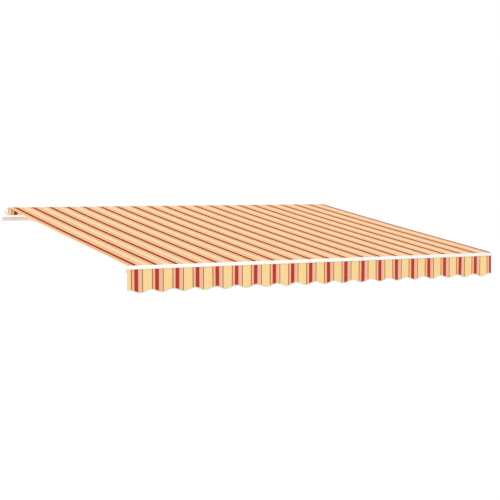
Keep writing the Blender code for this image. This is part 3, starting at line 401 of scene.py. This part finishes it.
coat = powderCoat("whiteCoat", fromBytes(252, 252, 248), grain=1500.0, depth=0.00003)
castCoat = powderCoat("whiteCastCoat", fromBytes(243, 243, 240), grain=620.0, depth=0.00007)
plastic = mouldedPlastic("whitePlastic", fromBytes(248, 248, 245))
zinc = zincPlate("zincSteel", (0.60, 0.60, 0.59))
tubeMetal = drawnMetal("rollerTubeMetal", (0.66, 0.67, 0.68), stretch=(3.0, 900.0, 900.0))
springMetal = drawnMetal("springSteel", (0.30, 0.31, 0.33), stretch=(800.0, 60.0, 60.0))
# The canopy's cloth carries painted sheen: its pale bands are drawn lighter than the valance's
canopyCloth = wovenCloth("canopyCloth", stripes["canopyBands"], weave["threads"])
valanceCloth = wovenCloth("valanceCloth", stripes["valanceBands"], weave["threads"])
tape = wovenCloth("hemTape", weave["tapeBands"], weave["tapeThreads"])
weltCord = mouldedPlastic("weltCord", fromBytes(226, 224, 216))
thread = sewingThread("seamThread", fromBytes(250, 240, 222))
tapeThread = sewingThread("tapeThread", fromBytes(232, 230, 222))
print("materials made")


# What each finish covers, by the start of the node's name: of two starts that fit, the longer one counts
finishes = {
    "coat": {
        "material": coat,
        "bevel": 0.0006,
        "nodes": (
            "torsion_bar",
            "roller_plate",
            "rear_arm",
            "forearm",
            "front_bar",
            "wall_bracket",
            "bracket_keeper",
        ),
    },
    "cast": {
        "material": castCoat,
        "bevel": 0.0010,
        "nodes": (
            "arm_bracket",
            "arm_keeper",
            "arm_cradle",
            "shoulder_knuckle",
            "rear_elbow",
            "front_elbow",
            "wrist_knuckle",
            "wrist_bracket",
        ),
    },
    "plastic": {"material": plastic, "bevel": 0.0006, "nodes": ("gearbox", "roller_cap", "front_bar_cap")},
    "zinc": {
        "material": zinc,
        "bevel": 0.0004,
        "nodes": (
            "keeper_bolt",
            "arm_bracket_bolt",
            "pitch_screw",
            "shoulder_pin",
            "elbow_pin",
            "wrist_pin",
            "cradle_pin",
            "crank_eye",
        ),
    },
    "tube": {"material": tubeMetal, "bevel": 0.0, "nodes": ("roller_tube",)},
}


def finishOf(node):
    fitting = [
        (len(start), key)
        for key, finish in finishes.items()
        for start in finish["nodes"]
        if node.startswith(start)
    ]
    return finishes[max(fitting)[1]] if fitting else None


# A copy of a CAD node with merged vertices, flat faces joined and its sharp edges broken
def dress(node, material, bevel):
    piece = bpy.data.objects.new(pieceName(node), frame["nodes"][node].data.copy())
    bpy.context.scene.collection.objects.link(piece)
    selectOnly(piece)
    bpy.ops.object.mode_set(mode="EDIT")
    mergeDoubles()
    bpy.ops.mesh.dissolve_limited(angle_limit=math.radians(0.5))
    bpy.ops.object.mode_set(mode="OBJECT")
    if bevel:
        breakEdges(piece, bevel)
    setMaterial(piece, material)
    smoothByAngle(piece, 35)
    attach(piece, nodeBody[node])
    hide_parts(node)


for node in sorted(frame["nodes"]):
    finish = finishOf(node)
    if finish:
        dress(node, finish["material"], finish["bevel"])
print("frame finished")


# Cloth helpers

def evenly(start, end, count):
    return [start + (end - start) * i / count for i in range(count + 1)]


# A sheet from a grid of points, with its flat place in metres as the UV map
def makeSheet(name, across, along, place, thickness, material, offset=0.0, shift=0.0, flatAlong=1.0):
    mesh = bpy.data.meshes.new(name)
    columns, rows = len(across), len(along)
    points = [place(u, v) for v in along for u in across]
    faces = [
        (r * columns + c, r * columns + c + 1, (r + 1) * columns + c + 1, (r + 1) * columns + c)
        for r in range(rows - 1)
        for c in range(columns - 1)
    ]
    mesh.from_pydata(points, [], faces)
    layer = mesh.uv_layers.new(name="clothMap")
    for loop in mesh.loops:
        r, c = divmod(loop.vertex_index, columns)
        layer.data[loop.index].uv = (across[c] + shift, along[r] * flatAlong)
    piece = bpy.data.objects.new(name, mesh)
    bpy.context.scene.collection.objects.link(piece)
    setMaterial(piece, material)
    applyModifier(piece, "SOLIDIFY", thickness=thickness, offset=offset, use_even_offset=True)
    smoothByAngle(piece, 50)
    return piece


# How layers of cloth lie on one another, in metres, and the share of its thickness a covered one gets
layers = {"air": 0.00008, "covered": 0.96, "threadAir": 0.00012}


# The path of an edge turned back on itself, as steps sideways and up, from the middle of the cloth
def turnedEdge(side, start, hem, shares):
    lay = run["thickness"] + layers["air"]
    turns = [math.pi * i / 6 for i in range(7)]
    bend = [(side * 0.5 * lay * math.sin(t), start - 0.5 * lay * (1 - math.cos(t))) for t in turns]
    return bend + [(-side * hem * share, bend[-1][1]) for share in shares]


# A hem along a turned edge: its pattern goes on with the cloth's own
def turnedHem(name, side, path, rows, place, material, flatSpot):
    steps = list(range(len(path)))
    piece = makeSheet(
        name,
        steps[::-1] if side < 0 else steps,
        rows,
        lambda step, along: place(*path[int(step)], along),
        run["thickness"] * layers["covered"],
        material,
    )
    layer = piece.data.uv_layers["clothMap"]
    for loop in piece.data.loops:
        layer.data[loop.index].uv = flatSpot(piece.data.vertices[loop.vertex_index].co)
    return piece


def shrinkWithArms(piece):
    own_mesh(piece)
    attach(piece, "frame")


# Rows of lockstitch: each stitch is a short bowed thread whose ends dive into the cloth
stitch = {
    "length": 0.0042,
    "pitch": 0.0060,
    "radius": 0.00034,
    "sides": 5,
    "bow": 0.00022,
    "dive": 0.00030,
    "bowed": (0.1, 0.9),  # the part of its length that bows up
    "flatter": 1.6,  # how much longer that part is drawn
}


# A straight row along X with its threads bowed up in Z
def stitchRow(count):
    row = addCylinder("stitch", stitch["sides"], stitch["radius"], (0, 0, 0), (stitch["length"], 0, 0))
    bpy.ops.object.mode_set(mode="EDIT")
    bpy.ops.mesh.select_mode(type="EDGE")
    bpy.ops.mesh.select_all(action="DESELECT")
    edited = bmesh.from_edit_mesh(row.data)
    for edge in edited.edges:
        edge.select_set(abs(edge.verts[0].co.x - edge.verts[1].co.x) > stitch["length"] / 2)
    bmesh.update_edit_mesh(row.data)
    bpy.ops.mesh.subdivide(number_cuts=2)
    bpy.ops.mesh.select_mode(type="VERT")
    bpy.ops.mesh.select_all(action="SELECT")
    bpy.ops.transform.translate(value=(0, 0, -stitch["dive"]))
    edited = bmesh.from_edit_mesh(row.data)
    for corner in edited.verts:
        corner.select_set(stitch["bowed"][0] < corner.co.x / stitch["length"] < stitch["bowed"][1])
    edited.select_flush(False)
    bmesh.update_edit_mesh(row.data)
    bpy.ops.transform.translate(value=(0, 0, stitch["dive"] + stitch["bow"]))
    bpy.ops.transform.resize(value=(stitch["flatter"], 1, 1))
    bpy.ops.object.mode_set(mode="OBJECT")
    applyModifier(
        row,
        "ARRAY",
        count=count,
        use_relative_offset=False,
        use_constant_offset=True,
        constant_offset_displace=(stitch["pitch"], 0, 0),
    )
    return row


# Each row in a list is (stitches, a function from the row's own place to the cloth)
def stitchPieces(name, rows, material):
    laid, straight = [], {}
    for count, place in rows:
        if count not in straight:
            straight[count] = stitchRow(count)
        row = copyPiece(straight[count], "row")
        for corner in row.data.vertices:
            corner.co = place(*corner.co)
        laid.append(row)
    for row in straight.values():
        bpy.data.objects.remove(row)
    piece = joinPieces(laid, name)
    setMaterial(piece, material)
    smoothByAngle(piece, 60)
    return piece


# Canopy: taut, with the slight hang of cloth between roller and rail, and a little rise
# beside the roller, which keeps it clear of the roll when the arms fold
canopyShape = {
    "sag": 0.005,
    "sideSag": 0.25,  # the share of the sag that the side edges lack
    "rise": 0.0026,
    "riseAt": 0.080,
    "columns": 96,
    "near": 0.300,  # the rows lie closer up to here
    "nearRows": 12,
    "rows": 26,
    "hem": 0.025,
    "hemShares": (0.3, 0.65, 1.0),
    "seam": 0.022,
    "seamShares": (0.0, 0.33, 0.67, 1.0),
    "seamsAfter": (4, 10, 16),  # stripes
    "seamShift": 0.006,
    "layersFrom": 0.030,
    "layersShort": 0.004,
    "stitchesFrom": {"top": 0.018, "under": 0.060},
    "stitchesShort": 0.012,
    "hemRows": (0.004, 0.019),
    "seamRow": 0.007,
}
canopyShape["seams"] = [
    stripes["firstRed"] + stripes["pitch"] * (count + 0.5) - canopyShape["seamShift"]
    for count in canopyShape["seamsAfter"]
]


def canopyPoint(across, along, lift=0.0):
    share = along / run["length"]
    middling = 1 - canopyShape["sideSag"] * (across / half) ** 2
    hang = canopyShape["sag"] * 16 * (share * (1 - share)) ** 2 * middling
    rise = canopyShape["rise"] * along / canopyShape["riseAt"] * math.exp(1 - along / canopyShape["riseAt"])
    height = run["gap"] + run["thickness"] + rise - hang + lift
    point = run["rollerLine"] + run["down"] * along + run["up"] * height
    return (across, point.y, point.z)


def canopyRows(start, end):
    near = canopyShape["near"]
    return evenly(start, near, canopyShape["nearRows"]) + evenly(near, end, canopyShape["rows"])[1:]


canopy = makeSheet(
    "canopyCloth",
    evenly(-half, half, canopyShape["columns"]),
    canopyRows(0.0, run["length"]),
    canopyPoint,
    run["thickness"],
    canopyCloth,
    offset=1.0,
    shift=stripes["canopyShift"],
)
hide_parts("canopy")
shrinkWithArms(canopy)


# The side hems turn under the cloth, and the panels overlap at the seams
layerRows = canopyRows(canopyShape["layersFrom"], run["length"] - canopyShape["layersShort"])


def sideHem(name, side):
    piece = turnedHem(
        name,
        side,
        turnedEdge(side, -0.5 * run["thickness"], canopyShape["hem"], canopyShape["hemShares"]),
        layerRows,
        lambda sideways, lift, along: canopyPoint(side * half + sideways, along, lift),
        canopyCloth,
        lambda spot: (spot.x + stripes["canopyShift"], (spot - run["rollerLine"]).dot(run["down"])),
    )
    shrinkWithArms(piece)
    return piece


def panelSeam(name, middle):
    lay = run["thickness"] * 1.5 + layers["air"]
    piece = makeSheet(
        name,
        [middle + canopyShape["seam"] * (share - 0.5) for share in canopyShape["seamShares"]],
        layerRows,
        lambda across, along: canopyPoint(across, along, -lay),
        run["thickness"] * layers["covered"],
        canopyCloth,
        shift=stripes["canopyShift"],
    )
    shrinkWithArms(piece)
    return piece


def canopyRow(across, face):
    facing, lift = (1, 0.0) if face == "top" else (-1, -2 * run["thickness"] - layers["threadAir"])
    start = canopyShape["stitchesFrom"][face]
    count = int((run["length"] - start - canopyShape["stitchesShort"]) / stitch["pitch"])
    return count, lambda x, y, z: canopyPoint(across + y * facing, start + x, lift + z * facing)


onCanopy = [sideHem("canopyHemLeft", -1), sideHem("canopyHemRight", 1)]
rowPlaces = [side * (half - inset) for side in (-1, 1) for inset in canopyShape["hemRows"]]
for letter, middle in zip("ABC", canopyShape["seams"]):
    onCanopy.append(panelSeam("panelSeam" + letter, middle))
    rowPlaces += [middle - canopyShape["seamRow"], middle + canopyShape["seamRow"]]
for face in ("top", "under"):
    rows = [canopyRow(across, face) for across in rowPlaces]
    onCanopy.append(stitchPieces("canopyStitches" + face.capitalize(), rows, thread))
    shrinkWithArms(onCanopy[-1])
print("canopy made")

# Valance: hangs from the rail's lower groove, hem cut in waves
valanceShape = {
    "top": -0.0262,
    "drop": 0.2208,
    "meanDrop": 0.1946,
    "wave": 0.0126,
    "wavePitch": 0.2023,
    "firstNotch": -1.9238,
    "ripple": 0.0020,
    "ripples": ((1.0, 10.3, 1.0), (0.6, 27.0, 0.4)),  # share, rate and start of each
    "looseFrom": -0.06,
    "looseOver": 0.16,
    "loosePower": 1.4,
    "columns": 384,
    "rows": 12,
    "tape": 0.0085,
    "tapeThickness": 0.0005,
    "tapeAir": 0.00004,
    "tapeLeg": (1.0, 0.55, 0.1),
    "tapePast": 0.0008,
    "tapeColumns": 576,
    "tapeFlat": 0.002,
    "tapeRow": {"up": 0.0055, "from": 0.004, "short": 0.006},
    "sideHem": 0.015,
    "sideHemShares": (0.5, 1.0),
    "sideHemTop": -0.036,
    "sideHemAbove": 0.0012,
    "sideRow": {"in": 0.003, "top": -0.040, "countFrom": -0.044, "air": 0.0001},
}


def hemHeight(across):
    turn = 2 * math.pi * (across - valanceShape["firstNotch"]) / valanceShape["wavePitch"]
    return -valanceShape["drop"] + valanceShape["wave"] * math.cos(turn)


def valanceSpot(across, height, proud=0.0):
    below = max(0.0, (valanceShape["looseFrom"] - height) / valanceShape["looseOver"])
    waves = sum(share * math.sin(across * rate + start) for share, rate, start in valanceShape["ripples"])
    ripple = valanceShape["ripple"] * below ** valanceShape["loosePower"] * waves
    return (across, run["railLine"].y - ripple - proud, run["railLine"].z + height)


def valancePoint(across, share):
    top = valanceShape["top"]
    return valanceSpot(across, top + (hemHeight(across) - top) * share)


valance = makeSheet(
    "valanceCloth",
    evenly(-half, half, valanceShape["columns"]),
    evenly(0.0, 1.0, valanceShape["rows"]),
    valancePoint,
    run["thickness"],
    valanceCloth,
    shift=stripes["valanceShift"],
    flatAlong=valanceShape["meanDrop"],
)
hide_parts("valance")
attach(valance, "front_rail")


# A point beside the hem: up is square to the wave, proud is towards the viewer
def besideHem(across, up, proud):
    step = 0.0005
    slope = (hemHeight(across + step) - hemHeight(across - step)) / (2 * step)
    long = math.sqrt(1 + slope * slope)
    return valanceSpot(across - slope / long * up, hemHeight(across) + up / long, proud)


# The binding tape folds over the hem, front and back
def hemTape():
    out = run["thickness"] / 2 + valanceShape["tapeThickness"] / 2 + valanceShape["tapeAir"]
    leg = [(out, valanceShape["tape"] * share) for share in valanceShape["tapeLeg"]]
    turns = [math.pi * (i + 1) / 6 for i in range(5)]
    fold = [(out * math.cos(t), -out * math.sin(t)) for t in turns]
    path = leg + fold + [(-out, up) for _, up in reversed(leg)]
    ends = half + valanceShape["tapePast"]
    return makeSheet(
        "valanceTape",
        evenly(-ends, ends, valanceShape["tapeColumns"]),
        list(range(len(path))),
        lambda across, step: besideHem(across, path[int(step)][1], path[int(step)][0]),
        valanceShape["tapeThickness"],
        tape,
        flatAlong=valanceShape["tapeFlat"],
    )


def tapeRow(facing):
    row = valanceShape["tapeRow"]
    proud = run["thickness"] / 2 + valanceShape["tapeThickness"]
    count = int((run["width"] - row["short"]) / stitch["pitch"])
    start = row["from"] - half
    return count, lambda x, y, z: besideHem(start + x, row["up"] + y * facing, (proud + z) * facing)


# Side hems of the valance turn to the back
def valanceSideHem(name, side):
    top = valanceShape["sideHemTop"]

    def place(sideways, proud, share):
        low = hemHeight(side * half + min(0.0, side * sideways) * side) + valanceShape["sideHemAbove"]
        return valanceSpot(side * half + sideways, top + (low - top) * share, proud)

    return turnedHem(
        name,
        side,
        turnedEdge(side, 0.0, valanceShape["sideHem"], valanceShape["sideHemShares"]),
        evenly(0.0, 1.0, valanceShape["rows"]),
        place,
        valanceCloth,
        lambda spot: (spot.x + stripes["valanceShift"], run["railLine"].z - spot.z),
    )


def sideRow(side, facing):
    row = valanceShape["sideRow"]
    across = side * (half - valanceShape["sideHem"] + row["in"])
    proud = run["thickness"] / 2 if facing > 0 else 1.5 * run["thickness"] + row["air"]
    count = int((row["countFrom"] - hemHeight(across) - valanceShape["tape"]) / stitch["pitch"])
    return count, lambda x, y, z: valanceSpot(across + y * facing, row["top"] - x, (proud + z) * facing)


sideRows = [sideRow(side, facing) for side in (-1, 1) for facing in (1, -1)]
onValance = [
    hemTape(),
    valanceSideHem("valanceHemLeft", -1),
    valanceSideHem("valanceHemRight", 1),
    stitchPieces("tapeStitches", [tapeRow(1), tapeRow(-1)], tapeThread),
    stitchPieces("valanceStitches", sideRows, thread),
]


# The welt cords sewn into the edges that slide into the rail's grooves
welt = {"radius": 0.0023, "sides": 12, "edge": 0.0005, "canopyDown": 0.0052, "valanceDown": 0.0274}


def weltPiece(name, down):
    low = run["railLine"] + Vector((-half, 0, -down))
    piece = addCylinder(name, welt["sides"], welt["radius"], low, low + Vector((run["width"], 0, 0)))
    breakEdges(piece, welt["edge"])
    setMaterial(piece, weltCord)
    smoothByAngle(piece, 50)
    return piece


welts = [weltPiece("canopyWelt", welt["canopyDown"]), weltPiece("valanceWelt", welt["valanceDown"])]


# The strip of canopy that turns down into the rail's upper groove
tuckShape = {"columns": 24, "heights": (run["gap"] + run["thickness"] / 2, -0.0008, -0.0030), "flat": 0.002}


def canopyTuck():
    heights = tuckShape["heights"]
    return makeSheet(
        "canopyTuck",
        evenly(-half, half, tuckShape["columns"]),
        list(range(len(heights))),
        lambda across, step: (across, run["railLine"].y, run["railLine"].z + heights[int(step)]),
        run["thickness"],
        canopyCloth,
        shift=stripes["canopyShift"],
        flatAlong=tuckShape["flat"],
    )


tuck = canopyTuck()
for piece in onValance + welts + [tuck]:
    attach(piece, "front_rail")
print("valance made")

# The turns of cloth left on the roller: one spiral that ends where the canopy leaves it
rollShape = {"turns": 2.0, "steps": 96, "columns": 12, "layer": 0.0006, "closeness": 0.94, "cloth": 0.9}


def rollPoint(across, step):
    angle = 2 * math.pi * step
    radius = run["rollRadius"] - run["thickness"] / 2 - rollShape["layer"] * step * rollShape["closeness"]
    outward = run["up"] * math.cos(angle) - run["down"] * math.sin(angle)
    point = run["rollerAxis"] + outward * radius
    return (across, point.y, point.z)


roll = makeSheet(
    "fabricRoll",
    evenly(-half, half, rollShape["columns"]),
    evenly(0.0, rollShape["turns"], rollShape["steps"]),
    rollPoint,
    run["thickness"] * rollShape["cloth"],
    canopyCloth,
    shift=stripes["canopyShift"],
    flatAlong=2 * math.pi * run["rollRadius"],
)
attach(roll, "roller")
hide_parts("fabric_roll")
print("roll made")


# Small fasteners, each modelled once on the Z axis with its seat at zero, then copied to its places
fastener = {
    "sides": 24,
    "foot": 0.0007,
    "keyAbove": 0.001,
    "rivet": {"radius": 0.0040, "rim": 0.0003, "domes": ((0.0005, 0.86), (0.0004, 0.66), (0.0002, 0.42))},
    "socket": {"radius": 0.0042, "height": 0.0024, "key": 0.0025, "depth": 0.0018, "edge": 0.0004},
    "countersunk": {"radius": 0.0035, "height": 0.0004, "key": 0.0016, "depth": 0.0009, "edge": 0.0002},
}


def roundHead(name, radius, height):
    return addCylinder(name, fastener["sides"], radius, (0, 0, -fastener["foot"]), (0, 0, height))


# A domed head: the top of a short cylinder drawn up and in, step by step
def rivetHead():
    shape = fastener["rivet"]
    head = roundHead("rivet", shape["radius"], shape["rim"])
    bpy.ops.object.mode_set(mode="EDIT")
    pickFaces(head, lambda normal: normal.z > 0.9)
    for rise, share in shape["domes"]:
        bpy.ops.mesh.extrude_region_move(TRANSFORM_OT_translate={"value": (0, 0, rise)})
        bpy.ops.transform.resize(value=(share, share, 1))
    bpy.ops.object.mode_set(mode="OBJECT")
    return head


# A round head with a hexagon pressed into it
def screwHead(kind):
    shape = fastener[kind]
    head = roundHead(kind, shape["radius"], shape["height"])
    breakEdges(head, shape["edge"])
    low, high = shape["height"] - shape["depth"], shape["height"] + fastener["keyAbove"]
    key = addCylinder("key", 6, shape["key"], (0, 0, low), (0, 0, high))
    applyModifier(head, "BOOLEAN", object=key, operation="DIFFERENCE", solver="EXACT")
    bpy.data.objects.remove(key)
    return head


headPieces = {"rivet": rivetHead(), "socket": screwHead("socket"), "countersunk": screwHead("countersunk")}


# Each spot is (place, the way the head faces)
def fastenerPiece(name, kind, spots, body):
    copies = []
    for place, facing in spots:
        copies.append(copyPiece(headPieces[kind], "head"))
        standAlong(copies[-1], place, facing)
    piece = joinPieces(copies, name)
    setMaterial(piece, zinc)
    smoothByAngle(piece, 40)
    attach(piece, body)


# The arms' own lines, to set rivets through each tube into its castings
arms = {
    "shoulder": Vector((1.585, -0.158, -0.008)),
    "bend": math.radians(9),
    "length": 1.485730,
    "rear": {"offset": 0.024, "half": 0.030, "start": 0.090, "end": 0.060},
    "fore": {"offset": 0.014, "half": 0.026, "start": 0.070, "end": 0.060},
    "insets": (0.013, 0.033),
}


def rivetSpots(origin, link, shape, outer):
    across = run["armUp"].cross(link) * outer
    alongs = [shape["start"] + inset for inset in arms["insets"]]
    alongs += [arms["length"] - shape["end"] - inset for inset in arms["insets"]]
    found = []
    for along in alongs:
        middle = origin + link * along + across * shape["offset"]
        for facing in (run["armUp"], -run["armUp"]):
            found.append((middle + facing * shape["half"], facing))
    return found


# The tension spring inside each forearm: a lead rod, a close coil with plugged ends and a tail rod
spring = {
    "outer": 0.0088,
    "wire": 0.0016,
    "wireSides": 6,
    "pitch": 0.0036,
    "steps": 16,
    "rod": 0.0029,
    "rodSides": 20,
    "edge": 0.0006,
    "lead": 0.26,
    "tail": 0.04,
    "plug": {"out": 0.004, "in": 0.014},
}


# One coil on the Z axis, from zero up
def springCoil(turns):
    bpy.ops.object.select_all(action="DESELECT")
    bpy.ops.mesh.primitive_circle_add(
        vertices=spring["wireSides"],
        radius=spring["wire"],
        location=(spring["outer"] - spring["wire"], 0, 0),
        rotation=(math.pi / 2, 0, 0),
    )
    coil = bpy.context.object
    bpy.ops.object.transform_apply(location=True, rotation=True, scale=True)
    applyModifier(
        coil,
        "SCREW",
        axis="Z",
        angle=2 * math.pi,
        screw_offset=spring["pitch"],
        iterations=turns,
        steps=spring["steps"],
        render_steps=spring["steps"],
    )
    bpy.ops.object.mode_set(mode="EDIT")
    mergeDoubles()
    bpy.ops.mesh.select_all(action="SELECT")
    bpy.ops.mesh.fill_holes(sides=spring["wireSides"])
    bpy.ops.mesh.select_all(action="SELECT")
    bpy.ops.mesh.normals_make_consistent(inside=False)
    bpy.ops.object.mode_set(mode="OBJECT")
    return coil


def armSpring(node, start, axis):
    spots = [(corner.co - start).dot(axis) for corner in frame["nodes"][node].data.vertices]
    low, high = min(spots) + spring["lead"], max(spots) - spring["tail"]
    bore, plug = spring["outer"] - 2 * spring["wire"], spring["plug"]
    parts = [springCoil(int((high - low) / spring["pitch"]) - 1)]
    for foot, top, radius in (
        (-spring["lead"], 0.0, spring["rod"]),
        (-plug["out"], plug["in"], bore),
        (high - low - plug["in"], high - low + plug["out"], bore),
        (high - low, high - low + spring["tail"], spring["rod"]),
    ):
        parts.append(addCylinder("springEnd", spring["rodSides"], radius, (0, 0, foot), (0, 0, top)))
        breakEdges(parts[-1], spring["edge"])
    for part in parts:
        standAlong(part, start + axis * low, axis)
    piece = joinPieces(parts, pieceName(node))
    setMaterial(piece, springMetal)
    smoothByAngle(piece, 50)
    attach(piece, nodeBody[node])
    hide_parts(node)


# Where the screws sit: in the rail's caps, the bar's ends and the gearbox
screws = {
    "cap": {"back": 0.022, "ups": (-0.016, -0.047)},
    "bar": {"insets": (0.016, 0.044)},
    "gearbox": {"turns": (95, 205, 335), "out": 0.0245},
}
barLow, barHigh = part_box("torsion_bar")
barMiddle = (barLow[2] + barHigh[2]) / 2
for side, sign in (("left", -1), ("right", 1)):
    origin = Vector((sign * arms["shoulder"].x, arms["shoulder"].y, arms["shoulder"].z))
    inward = Vector((-sign, 0, 0))
    first = run["armDirection"] * math.cos(arms["bend"]) + inward * math.sin(arms["bend"])
    second = run["armDirection"] * math.cos(arms["bend"]) - inward * math.sin(arms["bend"])
    elbow = origin + first * arms["length"]
    spots = rivetSpots(origin, first, arms["rear"], -sign)
    fastenerPiece(side + "RearArmRivets", "rivet", spots, side + "_rear_arm")
    armSpring("arm_spring_" + side, elbow + run["armUp"].cross(second) * -sign * arms["fore"]["offset"], second)
    spots = rivetSpots(elbow, second, arms["fore"], -sign)
    fastenerPiece(side + "ForearmRivets", "rivet", spots, side + "_forearm")
    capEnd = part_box("front_bar_cap_" + side)[0 if sign < 0 else 1][0]
    capBack = run["railLine"].y + screws["cap"]["back"]
    outward = Vector((sign, 0, 0))
    spots = [(Vector((capEnd, capBack, run["railLine"].z + up)), outward) for up in screws["cap"]["ups"]]
    fastenerPiece(side + "CapScrews", "countersunk", spots, "front_rail")
    forward = Vector((0, -1, 0))
    ends = [sign * (barHigh[0] - inset) for inset in screws["bar"]["insets"]]
    spots = [(Vector((end, barLow[1], barMiddle)), forward) for end in ends]
    fastenerPiece(side + "BarScrews", "socket", spots, "frame")

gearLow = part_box("gearbox")[0]
spots = []
for turn in screws["gearbox"]["turns"]:
    angle = math.radians(turn)
    out = run["rollerAxis"] + Vector((0, math.cos(angle), math.sin(angle))) * screws["gearbox"]["out"]
    spots.append((Vector((gearLow[0], out.y, out.z)), Vector((-1, 0, 0))))
fastenerPiece("gearboxScrews", "countersunk", spots, "frame")
for head in headPieces.values():
    bpy.data.objects.remove(head)
print("fasteners made")

# Floor well below the awning, as under one on a house: white paper that lifts a little where it is seen
stage = {"floor": -5.5, "floorColor": (0.93, 0.93, 0.925), "size": 160.0, "whiten": 0.12}
bpy.ops.object.select_all(action="DESELECT")
bpy.ops.mesh.primitive_plane_add(size=stage["size"], location=(0, 0, stage["floor"]))
floor = bpy.context.object
floor.name = "studioFloor"
paper = newMaterial("floorPaper", stage["floorColor"], roughness=0.9)
tintBase(paper, (*stage["floorColor"], 1), patches(paper, objectPoint(paper), scale=3.0, low=0.98, high=1.01))
paperLift = mathOut(paper, "MULTIPLY", seenRays(paper), stage["whiten"])
glow = addNode(paper, "ShaderNodeEmission", inputs={"Strength": paperLift}).outputs["Emission"]
paperSum = addNode(paper, "ShaderNodeAddShader", inputs={0: shaderOf(paper).outputs["BSDF"], 1: glow})
paperEnd = paper.node_tree.nodes["Material Output"]
paper.node_tree.links.new(paperSum.outputs["Shader"], paperEnd.inputs["Surface"])
setMaterial(floor, paper)

lights = {
    "key": {"energy": 1.42, "angle": 24.0, "from": (-0.55, -0.45, 0.70)},
    "ambient": {"strength": 0.68, "color": (1.0, 0.995, 0.98, 1)},
}
world = bpy.data.worlds.new("studioWorld")
bpy.context.scene.world = world
world.use_nodes = True
ambient = world.node_tree.nodes["Background"]
ambient.inputs["Color"].default_value = lights["ambient"]["color"]
ambient.inputs["Strength"].default_value = lights["ambient"]["strength"]
white = addNode(world, "ShaderNodeBackground", inputs={"Color": (1, 1, 1, 1), "Strength": 1.0})
mixWorld = addNode(
    world,
    "ShaderNodeMixShader",
    inputs={"Fac": seenRays(world), 1: ambient.outputs["Background"], 2: white.outputs["Background"]},
)
worldEnd = world.node_tree.nodes["World Output"]
world.node_tree.links.new(mixWorld.outputs["Shader"], worldEnd.inputs["Surface"])

keyData = bpy.data.lights.new("keyLight", "SUN")
keyData.energy = lights["key"]["energy"]
keyData.angle = math.radians(lights["key"]["angle"])
keyObject = bpy.data.objects.new("keyLight", keyData)
bpy.context.scene.collection.objects.link(keyObject)
keyObject.rotation_euler = Vector(lights["key"]["from"]).to_track_quat("Z", "Y").to_euler()
bpy.context.scene.view_settings.view_transform = "Standard"
print("stage and lights set")
